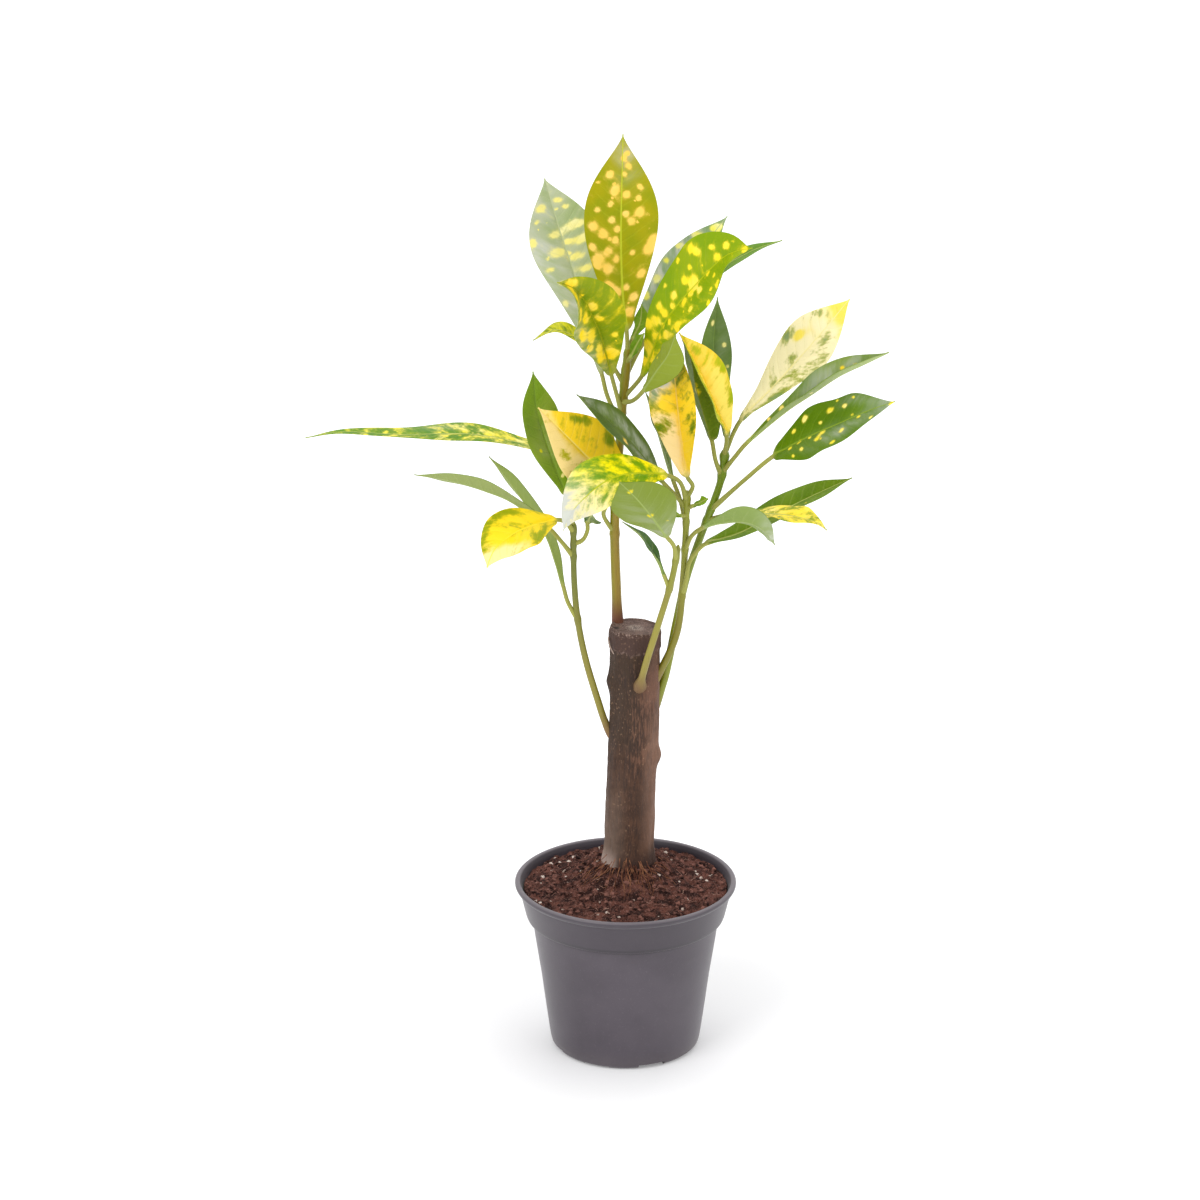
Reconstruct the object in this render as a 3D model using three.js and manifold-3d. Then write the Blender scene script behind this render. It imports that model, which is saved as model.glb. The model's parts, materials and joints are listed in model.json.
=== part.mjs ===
// A gold-dust croton in its nursery pot: a short cut trunk stands in the soil, five green shoots grow
// from it, and each shoot carries its own leaves.
// Millimetres, +Z up. The front of the plant faces -Y. Every table below measures from the pot's axis at
// the floor. At the end the whole plant is moved, so that the origin is under the middle of its box.
import * as THREE from "three";
import { mergeVertices } from "three/addons/utils/BufferGeometryUtils.js";
import Module from "manifold-3d";

const wasm = await Module();
wasm.setup();

// Driving dimensions of the pot: a thin-walled 12 cm nursery pot with a banded rim.
const POT_HEIGHT = 95;
const RIM_RADIUS = 60;
const FOOT_RADIUS = 38.5;
const WALL = 1.3;
const BAND_BOTTOM = 74.8;
const FLOOR_LIFT = 3;
const POT_SIDES = 40;

// The foot ring is notched so that water can leave: deep and shallow notches take turns.
const NOTCH_COUNT = 8;
const NOTCH_START = -69;
const NOTCH_WIDTH = 15;
const NOTCH_DEPTHS = [2.4, 1];
const NOTCH_REACH = 12;
const DRAIN_HOLES = 6;
const DRAIN_CIRCLE = 24;
const DRAIN_DIAMETER = 8;
const DRAIN_SIDES = 12;
const FOOT_RING_INSIDE = 35.5;
const FOOT_RING_TAPER = 1;

// The soil comes to just under the rim and is heaped up against the trunk.
const SOIL_LEVEL = 90.5;
const SOIL_HEAP = 10;
const SOIL_HEAP_REACH = 17;
const SOIL_RINGS = 9;
const CRUMB_COUNT = 16;

// The trunk: the radius at mid height, where it ends below the soil, and where it was cut.
const TRUNK_RADIUS = 13.2;
const TRUNK_FOOT = 42;
const TRUNK_TOP = 238;
const TRUNK_SIDES = 24;
const TRUNK_STEPS = 24;

// Clearance between pieces that touch, and between a stalk's foot and the bent shoot under it.
const GAP = 0.3;
const STALK_GAP = 0.4;

const BLADE_THICKNESS = 0.7;
const PETIOLE_RADIUS = 1.15;

// A small seeded generator, so that every build scatters the same way.
function seeded(seed) {
  let state = seed;
  return () => {
    state = (state * 1664525 + 1013904223) % 4294967296;
    return state / 4294967296;
  };
}

const radians = THREE.MathUtils.degToRad;
const point = (p) => new THREE.Vector3(...p);
const smooth = (low, high, value) => THREE.MathUtils.smoothstep(value, low, high);

// A closed body from rings of points that all have the same count, with a flat fan over each end.
// A quad is split from its first corner to its opposite one, or the other way where turned(k) is true.
function loft(rings, turned = () => false) {
  const count = rings[0].length;
  const vertices = rings.flat().flatMap((p) => [p.x, p.y, p.z]);
  const faces = [];
  for (let i = 0; i + 1 < rings.length; i++) {
    for (let k = 0; k < count; k++) {
      const a = i * count + k;
      const b = i * count + ((k + 1) % count);
      const c = b + count;
      const d = a + count;
      if (turned(k)) faces.push(a, b, d, b, c, d);
      else faces.push(a, b, c, a, c, d);
    }
  }
  const ends = [rings[0], rings[rings.length - 1]];
  ends.forEach((ring, end) => {
    const middle = ring.reduce((sum, p) => sum.add(p), new THREE.Vector3()).divideScalar(count);
    const hub = vertices.length / 3;
    const first = end * (rings.length - 1) * count;
    vertices.push(middle.x, middle.y, middle.z);
    for (let k = 0; k < count; k++) {
      const a = first + k;
      const b = first + ((k + 1) % count);
      if (end === 0) faces.push(hub, b, a);
      else faces.push(hub, a, b);
    }
  });
  const geometry = new THREE.BufferGeometry();
  geometry.setAttribute("position", new THREE.Float32BufferAttribute(vertices, 3));
  geometry.setIndex(faces);
  return geometry;
}

// Geometry to solid and back, for joining and cutting.
function solid(geometry) {
  const bare = geometry.clone();
  bare.deleteAttribute("normal");
  bare.deleteAttribute("uv");
  const merged = mergeVertices(bare, 1e-4);
  const mesh = new wasm.Mesh({
    numProp: 3,
    vertProperties: merged.attributes.position.array,
    triVerts: new Uint32Array(merged.index.array),
  });
  return new wasm.Manifold(mesh);
}

function geometryOf(body) {
  const mesh = body.getMesh();
  const geometry = new THREE.BufferGeometry();
  geometry.setAttribute("position", new THREE.BufferAttribute(mesh.vertProperties, 3));
  geometry.setIndex(new THREE.BufferAttribute(mesh.triVerts, 1));
  return geometry;
}

// Pot: one turned wall with a lip, a band under it and a raised floor in a foot ring.
// Each pair is a radius and a height; the outside runs up from the foot, the inside back down.
function potOutside() {
  return [
    [FOOT_RADIUS, 0],
    [40.2, 1.6],
    [41, 5],
    [43.1, 20],
    [45.8, 41],
    [49.2, 63],
    [50.8, BAND_BOTTOM - 1.5],
    [53.3, BAND_BOTTOM],
    [54.2, BAND_BOTTOM + 1.8],
    [57.6, POT_HEIGHT - 4],
    [59.2, POT_HEIGHT - 3.2],
    [RIM_RADIUS, POT_HEIGHT - 1.8],
    [RIM_RADIUS, POT_HEIGHT - 0.8],
    [RIM_RADIUS - 0.8, POT_HEIGHT],
  ];
}

const POT_INSIDE = [
  [RIM_RADIUS - 2.6, POT_HEIGHT],
  [57.6 - WALL, POT_HEIGHT - 2.5],
  [54.2 - WALL, BAND_BOTTOM + 3],
  [50.6 - WALL, BAND_BOTTOM - 0.5],
  [41 - WALL, FLOOR_LIFT + WALL + 1.5],
  [39.5 - WALL, FLOOR_LIFT + WALL],
];

function potSolid() {
  const ringTop = FOOT_RING_INSIDE - FOOT_RING_TAPER;
  const profile = [[0, FLOOR_LIFT], [ringTop, FLOOR_LIFT], [FOOT_RING_INSIDE, 0]];
  profile.push(...potOutside(), ...POT_INSIDE, [0, FLOOR_LIFT + WALL]);
  const points = profile.map(([r, z]) => new THREE.Vector2(r, z));
  const turned = new THREE.LatheGeometry(points, POT_SIDES);
  turned.rotateX(Math.PI / 2);
  let body = solid(turned);
  for (let i = 0; i < NOTCH_COUNT; i++) {
    const depth = NOTCH_DEPTHS[i % NOTCH_DEPTHS.length];
    const notch = new THREE.BoxGeometry(NOTCH_REACH, NOTCH_WIDTH, 2 * depth);
    notch.translate(FOOT_RADIUS, 0, 0);
    notch.rotateZ(radians(NOTCH_START + (360 / NOTCH_COUNT) * i));
    body = body.subtract(solid(notch));
  }
  for (let i = 0; i < DRAIN_HOLES; i++) {
    const hole = new THREE.CylinderGeometry(
      DRAIN_DIAMETER / 2, DRAIN_DIAMETER / 2, 2 * FLOOR_LIFT, DRAIN_SIDES,
    );
    hole.rotateX(Math.PI / 2);
    hole.translate(DRAIN_CIRCLE, 0, FLOOR_LIFT);
    hole.rotateZ((2 * Math.PI * i) / DRAIN_HOLES);
    body = body.subtract(solid(hole));
  }
  return body;
}

// Trunk: its middle line leans a little to the right and forward as it rises.
const TRUNK_LINE = [
  [1.5, 13, TRUNK_FOOT],
  [1.8, 12, 100],
  [2.6, 11, 142],
  [4.4, 9, 180],
  [5, 8, 205],
  [5, 8, TRUNK_TOP],
];

// Knobs are old leaf scars and sleeping buds: an angle round the trunk, a height, a size and a spread.
const TRUNK_KNOBS = [
  { angle: 180, height: 207, size: 1.9, spread: 5 },
  { angle: -2, height: 164, size: 2, spread: 5 },
  { angle: -60, height: 203, size: 1, spread: 6 },
  { angle: 95, height: 150, size: 1.6, spread: 6 },
  { angle: 140, height: 120, size: 1.2, spread: 6 },
];

function along(line, height) {
  const next = Math.max(1, line.findIndex((p) => p[2] >= height));
  const share = (height - line[next - 1][2]) / (line[next][2] - line[next - 1][2]);
  return point(line[next - 1]).lerp(point(line[next]), THREE.MathUtils.clamp(share, 0, 1));
}

// Distance of the bark from the trunk's middle line: a flared foot, shallow ridges, knobs and the
// thicker lip of bark that healed round the cut.
function barkRadius(angle, height) {
  const flare = 1.6 * (1 - smooth(92, 118, height)) - 3 * (1 - smooth(TRUNK_FOOT, 75, height));
  const lip = 0.5 * smooth(221, 226, height) - 0.9 * smooth(234, TRUNK_TOP, height);
  const ridges = 0.28 * Math.sin(5 * angle + height / 19) + 0.22 * Math.sin(9 * angle - height / 11);
  let radius = TRUNK_RADIUS + flare + lip + ridges;
  for (const knob of TRUNK_KNOBS) {
    const turn = angle - radians(knob.angle);
    const across = Math.atan2(Math.sin(turn), Math.cos(turn)) * TRUNK_RADIUS;
    const distance = Math.hypot(across, height - knob.height) / knob.spread;
    radius += knob.size * Math.exp(-distance * distance);
  }
  return radius;
}

// The trunk, or the same body with its sides and its foot grown by a clearance, for cutting its seats.
function trunkSolid(grow = 0) {
  const rings = [];
  for (let i = 0; i <= TRUNK_STEPS; i++) {
    const height = THREE.MathUtils.lerp(TRUNK_FOOT, TRUNK_TOP, i / TRUNK_STEPS);
    const middle = along(TRUNK_LINE, height);
    const shift = i === 0 ? -grow : i === TRUNK_STEPS ? grow : 0;
    const ring = [];
    for (let k = 0; k < TRUNK_SIDES; k++) {
      const angle = (2 * Math.PI * k) / TRUNK_SIDES;
      const radius = barkRadius(angle, height) + grow;
      const slope = i === TRUNK_STEPS ? -0.05 * radius * Math.cos(angle) : 0;
      const side = new THREE.Vector3(radius * Math.cos(angle), radius * Math.sin(angle), shift + slope);
      ring.push(side.add(middle));
    }
    rings.push(ring);
  }
  return solid(loft(rings));
}

// Soil: it fills the pot up to its level and rises to the trunk, with clods all over.
function soilHeight(x, y) {
  const trunk = along(TRUNK_LINE, 100);
  const away = Math.hypot(x - trunk.x, y - trunk.y) - TRUNK_RADIUS;
  const heap = SOIL_HEAP * Math.exp(-((Math.max(away, 0) / SOIL_HEAP_REACH) ** 2));
  const clods = Math.sin(x / 3.1 + 1.3 * Math.sin(y / 4.3)) * Math.sin(y / 3.7 + 1.1 * Math.sin(x / 5.2));
  return SOIL_LEVEL + heap + 0.9 * clods;
}

function soilSolid(cutter) {
  const [, nearRim, bandFoot, wallTop, wallFoot] = POT_INSIDE;
  const rimSlope = (nearRim[0] - bandFoot[0]) / (nearRim[1] - bandFoot[1]);
  const edge = nearRim[0] + rimSlope * (SOIL_LEVEL - nearRim[1]) - GAP;
  const wall = [
    [wallFoot[0] - GAP, wallFoot[1] + 0.5],
    [wallTop[0] - GAP, wallTop[1]],
    [bandFoot[0] - GAP, bandFoot[1]],
    [edge, SOIL_LEVEL - 0.4],
  ];
  const at = (r, k, z) => {
    const angle = (2 * Math.PI * k) / POT_SIDES;
    return new THREE.Vector3(r * Math.cos(angle), r * Math.sin(angle), z);
  };
  const sides = [...Array(POT_SIDES).keys()];
  const rings = wall.map(([r, z]) => sides.map((k) => at(r, k, z)));
  for (let i = 0; i < SOIL_RINGS; i++) {
    const r = (edge - 1) * (1 - i / SOIL_RINGS);
    rings.push(
      sides.map((k) => {
        const p = at(r, k, 0);
        return p.setZ(soilHeight(p.x, p.y));
      }),
    );
  }
  let body = solid(loft(rings)).subtract(cutter);
  const random = seeded(7);
  const trunk = along(TRUNK_LINE, 100);
  for (let i = 0; i < CRUMB_COUNT; i++) {
    const angle = 2 * Math.PI * (i + random()) * 0.618;
    const reach = Math.sqrt(THREE.MathUtils.lerp(0.16, 0.82, random())) * edge;
    const size = THREE.MathUtils.lerp(1.1, 2.1, random());
    const place = new THREE.Vector3(reach * Math.cos(angle), reach * Math.sin(angle), 0);
    if (Math.hypot(place.x - trunk.x, place.y - trunk.y) < TRUNK_RADIUS + 7) continue;
    const crumb = new THREE.OctahedronGeometry(size, 0);
    crumb.rotateX(3 * random());
    crumb.rotateY(3 * random());
    crumb.translate(place.x, place.y, soilHeight(place.x, place.y) + 0.3 * size);
    body = body.add(solid(crumb));
  }
  return body;
}

// Shoots: the middle line of each green stem from inside the trunk to its tip, the radii at its foot
// and top, and the radius of the callus where it broke through the bark.
const SHOOTS = {
  crown: {
    line: [[-4, 16, 228], [-5, 17, 250], [-6, 16, 293], [-4, 15, 329], [-2, 13, 363], [1, 12, 393]],
    radii: [2.7, 2.1],
    callus: 3.3,
  },
  left: {
    line: [
      [-3, 8, 170], [-8, 7.5, 176.5], [-11.7, 7.5, 185], [-15.2, 7.5, 196.5], [-21.4, 6.5, 219.5],
      [-25.6, 5.5, 242.5], [-27.6, 4.5, 265.5], [-28, 4, 299],
    ],
    radii: [2, 1.5],
    callus: 2.6,
  },
  front: {
    line: [
      [7, 0, 206], [7.6, -5.5, 210.5], [11, -8.5, 225], [17.8, -10.5, 248.5], [24, -10, 271],
      [27.4, -8.5, 290],
    ],
    radii: [1.9, 1.6],
    callus: 4.2,
  },
  right: {
    line: [
      [12, 5, 203], [19.2, 4.5, 216], [25.8, 4, 231.7], [28.4, 4, 243], [30.3, 4, 266], [31, 4, 280],
      [32, 4, 316],
    ],
    radii: [2.1, 1.6],
    callus: 2.8,
  },
  far: {
    line: [
      [12, 9, 184], [16.2, 12, 193.4], [20.4, 12.5, 206], [22.9, 12.5, 217.5], [27.2, 13, 240], [32, 13, 263],
      [39, 13, 285.5], [46.8, 13, 308], [50, 13, 319], [52.3, 12.5, 337],
    ],
    radii: [2.3, 1.9],
    callus: 3.2,
  },
};

// Young leaves at the tips of the shoots, too small for solids of their own: they grow into the shoot.
const YOUNG_LEAVES = {
  crown: [
    { joins: 384, midrib: [[2, 8, 388], [6, 2, 398], [9, -2, 404]], width: 7, turn: -30, fold: 10 },
    { joins: 388, midrib: [[3, 14, 396], [7, 17, 404], [8, 18, 414]], width: 8, turn: 30, fold: 10 },
  ],
  right: [
    { joins: 306, midrib: [[35, 2, 308], [39, -1, 311], [43, -4, 314]], width: 6, turn: -50, fold: 10 },
    { joins: 302, midrib: [[29, 1, 303], [26, -3, 305], [23, -6, 308]], width: 5, turn: 50, fold: 10 },
  ],
};

// A shoot keeps its thickness up to this share of its length and then rounds off to its tip.
const SHOOT_TIP_SHARE = 0.97;
const SHOOT_STEPS_PER_POINT = 1.6;
const SHOOT_SIDES = 8;

function shootRadius(shoot, share) {
  const [low, high] = shoot.radii;
  const callus = (shoot.callus - low) * (1 - smooth(0.03, 0.14, share));
  const tip = 1 - 0.75 * smooth(SHOOT_TIP_SHARE, 1, share) ** 2;
  return (THREE.MathUtils.lerp(low, high, share) + callus) * tip;
}

function shootCurve(shoot) {
  return new THREE.CatmullRomCurve3(shoot.line.map(point), false, "centripetal");
}

// The place, direction and radius of a shoot at a height.
function shootAt(shoot, height) {
  const curve = shootCurve(shoot);
  let low = 0;
  let high = 1;
  for (let i = 0; i < 30; i++) {
    const middle = (low + high) / 2;
    if (curve.getPointAt(middle).z < height) low = middle;
    else high = middle;
  }
  return { place: curve.getPointAt(low), way: curve.getTangentAt(low), radius: shootRadius(shoot, low) };
}

function shootSolid(name, cutter) {
  const shoot = SHOOTS[name];
  const curve = shootCurve(shoot);
  const steps = Math.ceil(SHOOT_STEPS_PER_POINT * shoot.line.length);
  const rings = [];
  for (let i = 0; i <= steps; i++) {
    const share = i === steps ? 1 : (SHOOT_TIP_SHARE * i) / (steps - 1);
    const middle = curve.getPointAt(share);
    const way = curve.getTangentAt(share);
    const side = new THREE.Vector3(0, 1, 0).cross(way).normalize();
    const front = way.clone().cross(side);
    const radius = shootRadius(shoot, share);
    const ring = [];
    for (let k = 0; k < SHOOT_SIDES; k++) {
      const angle = (2 * Math.PI * k) / SHOOT_SIDES;
      const spoke = side.clone().multiplyScalar(radius * Math.cos(angle));
      ring.push(spoke.addScaledVector(front, radius * Math.sin(angle)).add(middle));
    }
    rings.push(ring);
  }
  let body = solid(loft(rings)).subtract(cutter);
  for (const young of YOUNG_LEAVES[name] ?? []) {
    body = body.add(leafSolid({ ...young, shoot: name, sunk: true }));
  }
  return body;
}

// Leaves turn their upper side to the light, which comes from the front and a little above.
const LIGHT = [0, -0.954, 0.301];

// Leaves: the shoot that a leaf grows on, the height where its stalk joins it, points that the stalk
// passes, and points along the midrib from the blade's foot to its tip. The width is across the blade
// laid flat, turn is how far the blade is turned about its midrib from facing the light, with the
// thumb along the midrib (past 90 it shows its underside to the front), twist is what its end turns
// further, and fold is how far each half is turned up from flat. The belly sets where the blade is
// widest: 1 at its middle, more nearer its tip.
const LEAVES = {
  crown_tall: {
    shoot: "crown", joins: 390, width: 39, turn: 4, fold: 6,
    midrib: [[0, 11, 402], [-2, 12, 420], [-3, 13, 450], [-2, 18, 505]],
  },
  crown_back_left: {
    shoot: "crown", joins: 349, width: 38, turn: 14, fold: 10, belly: 1.7,
    stalk: [[-10, 17, 364]],
    midrib: [[-13, 18, 376], [-28, 32, 428], [-36, 40, 451], [-43, 47, 474]],
  },
  crown_front_left: {
    shoot: "crown", joins: 356, width: 36, turn: 7, twist: 15, fold: 34, belly: 1.3,
    stalk: [[-5, 8, 367]],
    midrib: [
      [-8, 3, 380], [-13.5, -10, 405], [-17.5, -20, 418], [-22.5, -31, 431], [-28.5, -41, 440],
      [-35.5, -48, 444.5],
    ],
  },
  crown_arched: {
    shoot: "crown", joins: 372, width: 18, turn: 72, fold: 10,
    midrib: [[-10, 10, 386], [-19, 9, 393], [-27, 9, 399], [-37, 11, 402], [-49, 12, 396]],
  },
  crown_broad: {
    shoot: "crown", joins: 364, width: 41, turn: -40, fold: 14, belly: 1.55,
    midrib: [[8, 10, 377], [20, -5, 411], [37, -21, 437.5], [51, -34, 455], [63, -46, 462]],
  },
  crown_behind: {
    shoot: "crown", joins: 380, width: 26, turn: -35, fold: 10,
    midrib: [[6, 22, 399], [20, 29, 418.5], [35, 39, 432.5], [53, 45, 454]],
  },
  crown_far: {
    shoot: "crown", joins: 376, width: 18, turn: -60, fold: 14,
    midrib: [[12, 26, 395], [39, 47, 417], [66, 62, 430], [83, 70, 434]],
  },
  crown_cupped: {
    shoot: "crown", joins: 362, width: 20, turn: 150, fold: 26,
    stalk: [[3, 2, 366]],
    midrib: [[9, -11, 376], [16, -21, 390], [21, -26, 399], [25, -29, 411]],
  },
  crown_gold: {
    shoot: "crown", joins: 288, width: 37, turn: 22, fold: 16, belly: 1,
    stalk: [[-12, 12, 300]],
    midrib: [[-9, 9, 309], [-10, 5, 321], [-18.5, 1, 333], [-32, -6, 350], [-46, -10, 366]],
  },
  crown_long: {
    shoot: "crown", joins: 303, width: 22, turn: 70, fold: 6, belly: 0.85,
    stalk: [[-18, 22, 316]],
    midrib: [[-32, 27, 326], [-76, 30, 338], [-120, 30, 338.5], [-152, 28, 340.5], [-170, 26, 338]],
  },
  left_upright: {
    shoot: "left", joins: 296, width: 26, turn: 36, fold: 10,
    stalk: [[-30, 5, 304]],
    midrib: [[-32, 6, 313], [-41, 8, 337], [-47, 10, 358], [-49, 12, 379]],
  },
  left_yellow: {
    shoot: "left", joins: 293, width: 34, turn: 42, fold: 8,
    stalk: [[-32, -1, 300]],
    midrib: [[-37, -6, 303], [-51, -15, 302.5], [-61, -22, 299.5], [-69, -26, 293], [-73, -28, 284]],
  },
  left_slim: {
    shoot: "left", joins: 279, width: 20, turn: 107, fold: 12,
    stalk: [[-35, 2, 289]],
    midrib: [[-41, 3, 295.5], [-61, -1, 312], [-74, -4, 318.5], [-92, -8, 325.5], [-111, -12, 330]],
  },
  left_sage: {
    shoot: "left", joins: 243, width: 21, turn: 110, fold: 12,
    stalk: [[-31, 6.5, 252.5]],
    midrib: [[-33.5, 7.5, 261.5], [-42.5, 15.5, 288], [-52, 21.5, 300.5], [-62, 28, 313], [-73, 34, 325]],
  },
  left_small: {
    shoot: "left", joins: 286, width: 13, turn: 0, fold: 6,
    stalk: [[-23, 5, 288], [-20.5, 7.5, 292.5]],
    midrib: [[-20.5, 10, 295.5], [-19.5, 18, 295.5], [-18, 30, 293.5]],
  },
  front_broad: {
    shoot: "front", joins: 282, width: 34, turn: 155, fold: 8,
    stalk: [[25, -14, 291]],
    midrib: [[21, -20, 298.5], [13, -35, 315], [5, -46, 328.5], [-4, -55, 340.5]],
  },
  front_strip: {
    shoot: "front", joins: 266, width: 16, turn: 80, fold: 10,
    midrib: [[20, -9, 273], [18, -8, 278.5], [12.6, -4, 286.5], [7.2, 0, 292.5], [-2, 7, 297.5]],
  },
  right_gold: {
    shoot: "right", joins: 312, width: 30, turn: -20, fold: 33,
    stalk: [[35, 4.5, 318]],
    midrib: [[32, 3, 324], [29, -1, 343], [27, -5, 362], [25, -8, 383], [24, -6.5, 404.5]],
  },
  right_bright: {
    shoot: "right", joins: 310, width: 33, turn: 38, fold: 8,
    stalk: [[28, -3, 323]],
    midrib: [
      [21, -10, 329], [10, -17, 332.5], [-2, -23, 333.5], [-14, -28, 329.5], [-29, -33, 315.5],
      [-33, -34, 306.5],
    ],
  },
  right_dark: {
    shoot: "right", joins: 306, width: 23, turn: 55, fold: 12,
    stalk: [[27, 4, 312]],
    midrib: [[19, 3.5, 321], [11, 0.5, 333], [-1, -4.5, 349], [-13, -9.5, 362], [-26, -12.5, 374]],
  },
  right_strip: {
    shoot: "right", joins: 298, width: 16, turn: 75, fold: 10,
    stalk: [[28, 8, 311]],
    midrib: [[25, 9, 319], [22, 11, 328], [18, 13, 341], [10, 16, 367]],
  },
  right_low_dark: {
    shoot: "right", joins: 257, width: 24, turn: -60, fold: 14,
    stalk: [[31.8, 1.5, 267], [33.5, 1, 277], [38.3, 4, 283]],
    midrib: [[42, 7, 285], [60, 13, 289], [77, 17, 297], [98, 20, 307], [120, 22, 317]],
  },
  right_low_pale: {
    shoot: "right", joins: 283, width: 24, turn: -116, fold: 12, belly: 1.5,
    stalk: [[34.6, 0, 292]],
    midrib: [[41, -6, 299], [53, -16, 305.5], [64, -25, 308], [72, -33, 306], [77, -39, 300.5]],
  },
  far_upright: {
    shoot: "far", joins: 331, width: 20, turn: 32, fold: 18,
    midrib: [[53, 20, 340], [47, 28, 368], [46, 32, 391], [48, 34, 413]],
  },
  far_yellow: {
    shoot: "far", joins: 332, width: 27, turn: 46, fold: 36, belly: 1.1,
    midrib: [[52.5, 5, 347], [47.5, 0, 361], [43.5, -5, 372], [37, -11, 388], [27, -18, 409]],
  },
  far_olive: {
    shoot: "far", joins: 321, width: 26, turn: 125, fold: 20, belly: 1,
    stalk: [[47, 9, 331]],
    midrib: [[45, 9, 342], [41, 8, 357], [37, 5, 371], [34, 2, 388], [29, -1, 400]],
  },
  far_cream: {
    shoot: "far", joins: 334, width: 35, turn: -42, fold: 8, belly: 1.5,
    midrib: [[60, 12, 352], [75, 16, 367], [91, 20, 384], [104, 22, 399], [117, 24, 415]],
  },
  far_folded: {
    shoot: "far", joins: 323, width: 18, turn: -65, fold: 42, belly: 1.6,
    stalk: [[57, 8, 333]],
    midrib: [
      [63, 4, 342], [84, -2, 362.5], [96, -4, 371.5], [111, -6, 382.5], [124, -8, 389.5],
      [136, -8, 395.5],
    ],
  },
  far_spotted: {
    shoot: "far", joins: 302, width: 37, turn: -50, fold: 8, belly: 1.05,
    stalk: [[62, 0, 323]],
    midrib: [[77, -8, 339], [95, -18, 353], [108, -24, 361], [123, -30, 370], [138, -34, 377]],
  },
  far_low_yellow: {
    shoot: "far", joins: 296, width: 20, turn: -65, fold: 10, belly: 1,
    stalk: [[56, 7, 302]],
    midrib: [[66, 0, 304.5], [81, -6, 306], [90, -12, 306.5], [100, -17, 305], [105, -20, 302]],
  },
};

// Half width of a blade as a share of its greatest, with a full foot and a drawn-out tip.
function outline(share, belly) {
  return Math.sin(Math.PI * share ** belly) ** (0.6 + 0.7 * share);
}

// Where a leaf has its rings, as shares of the blade's length, and its places across.
const BLADE_SHARES = [0, 0.07, 0.16, 0.28, 0.41, 0.54, 0.67, 0.79, 0.9, 1];
const YOUNG_SHARES = [0, 0.2, 0.55, 1];
const ACROSS = [-1, -0.5, 0, 0.5, 1];
const USUAL_BELLY = 1.23;
const TIP_REACH = 0.5;
const TWIST_START = 0.45;

// A stalk's shoulder stands this far out of the shoot and above its joint, and its first free ring
// lies this many times the shoot's and its own radius from the shoot's middle line.
const SHOULDER_REACH = 2.5;
const SHOULDER_RISE = 2;
const STALK_CLEAR = 1.2;

// The midrib stands out of the underside as a keel, deepest at the blade's foot.
const KEEL_DEPTH = 0.9;

// Lengths along one stretch of a curve, and the curve's own parameter at a length.
function measure(curve, from, to) {
  const pieces = 80;
  const lengths = [0];
  for (let i = 1; i <= pieces; i++) {
    const here = curve.getPoint(THREE.MathUtils.lerp(from, to, i / pieces));
    const before = curve.getPoint(THREE.MathUtils.lerp(from, to, (i - 1) / pieces));
    lengths.push(lengths[i - 1] + here.distanceTo(before));
  }
  const whole = lengths[pieces];
  const at = (wanted) => {
    const next = Math.max(1, lengths.findIndex((length) => length >= wanted - 1e-9));
    const part = (wanted - lengths[next - 1]) / (lengths[next] - lengths[next - 1]);
    return THREE.MathUtils.lerp(from, to, (next - 1 + part) / pieces);
  };
  return { whole, at };
}

// Where a stalk comes out of the shoot: square to it at first, on the side where the leaf goes.
function shoulder(joint, next) {
  const way = point(next).sub(joint.place);
  const out = way.addScaledVector(joint.way, -way.dot(joint.way)).normalize();
  const place = joint.place.clone().addScaledVector(out, joint.radius + SHOULDER_REACH);
  return place.addScaledVector(joint.way, SHOULDER_RISE);
}

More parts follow.
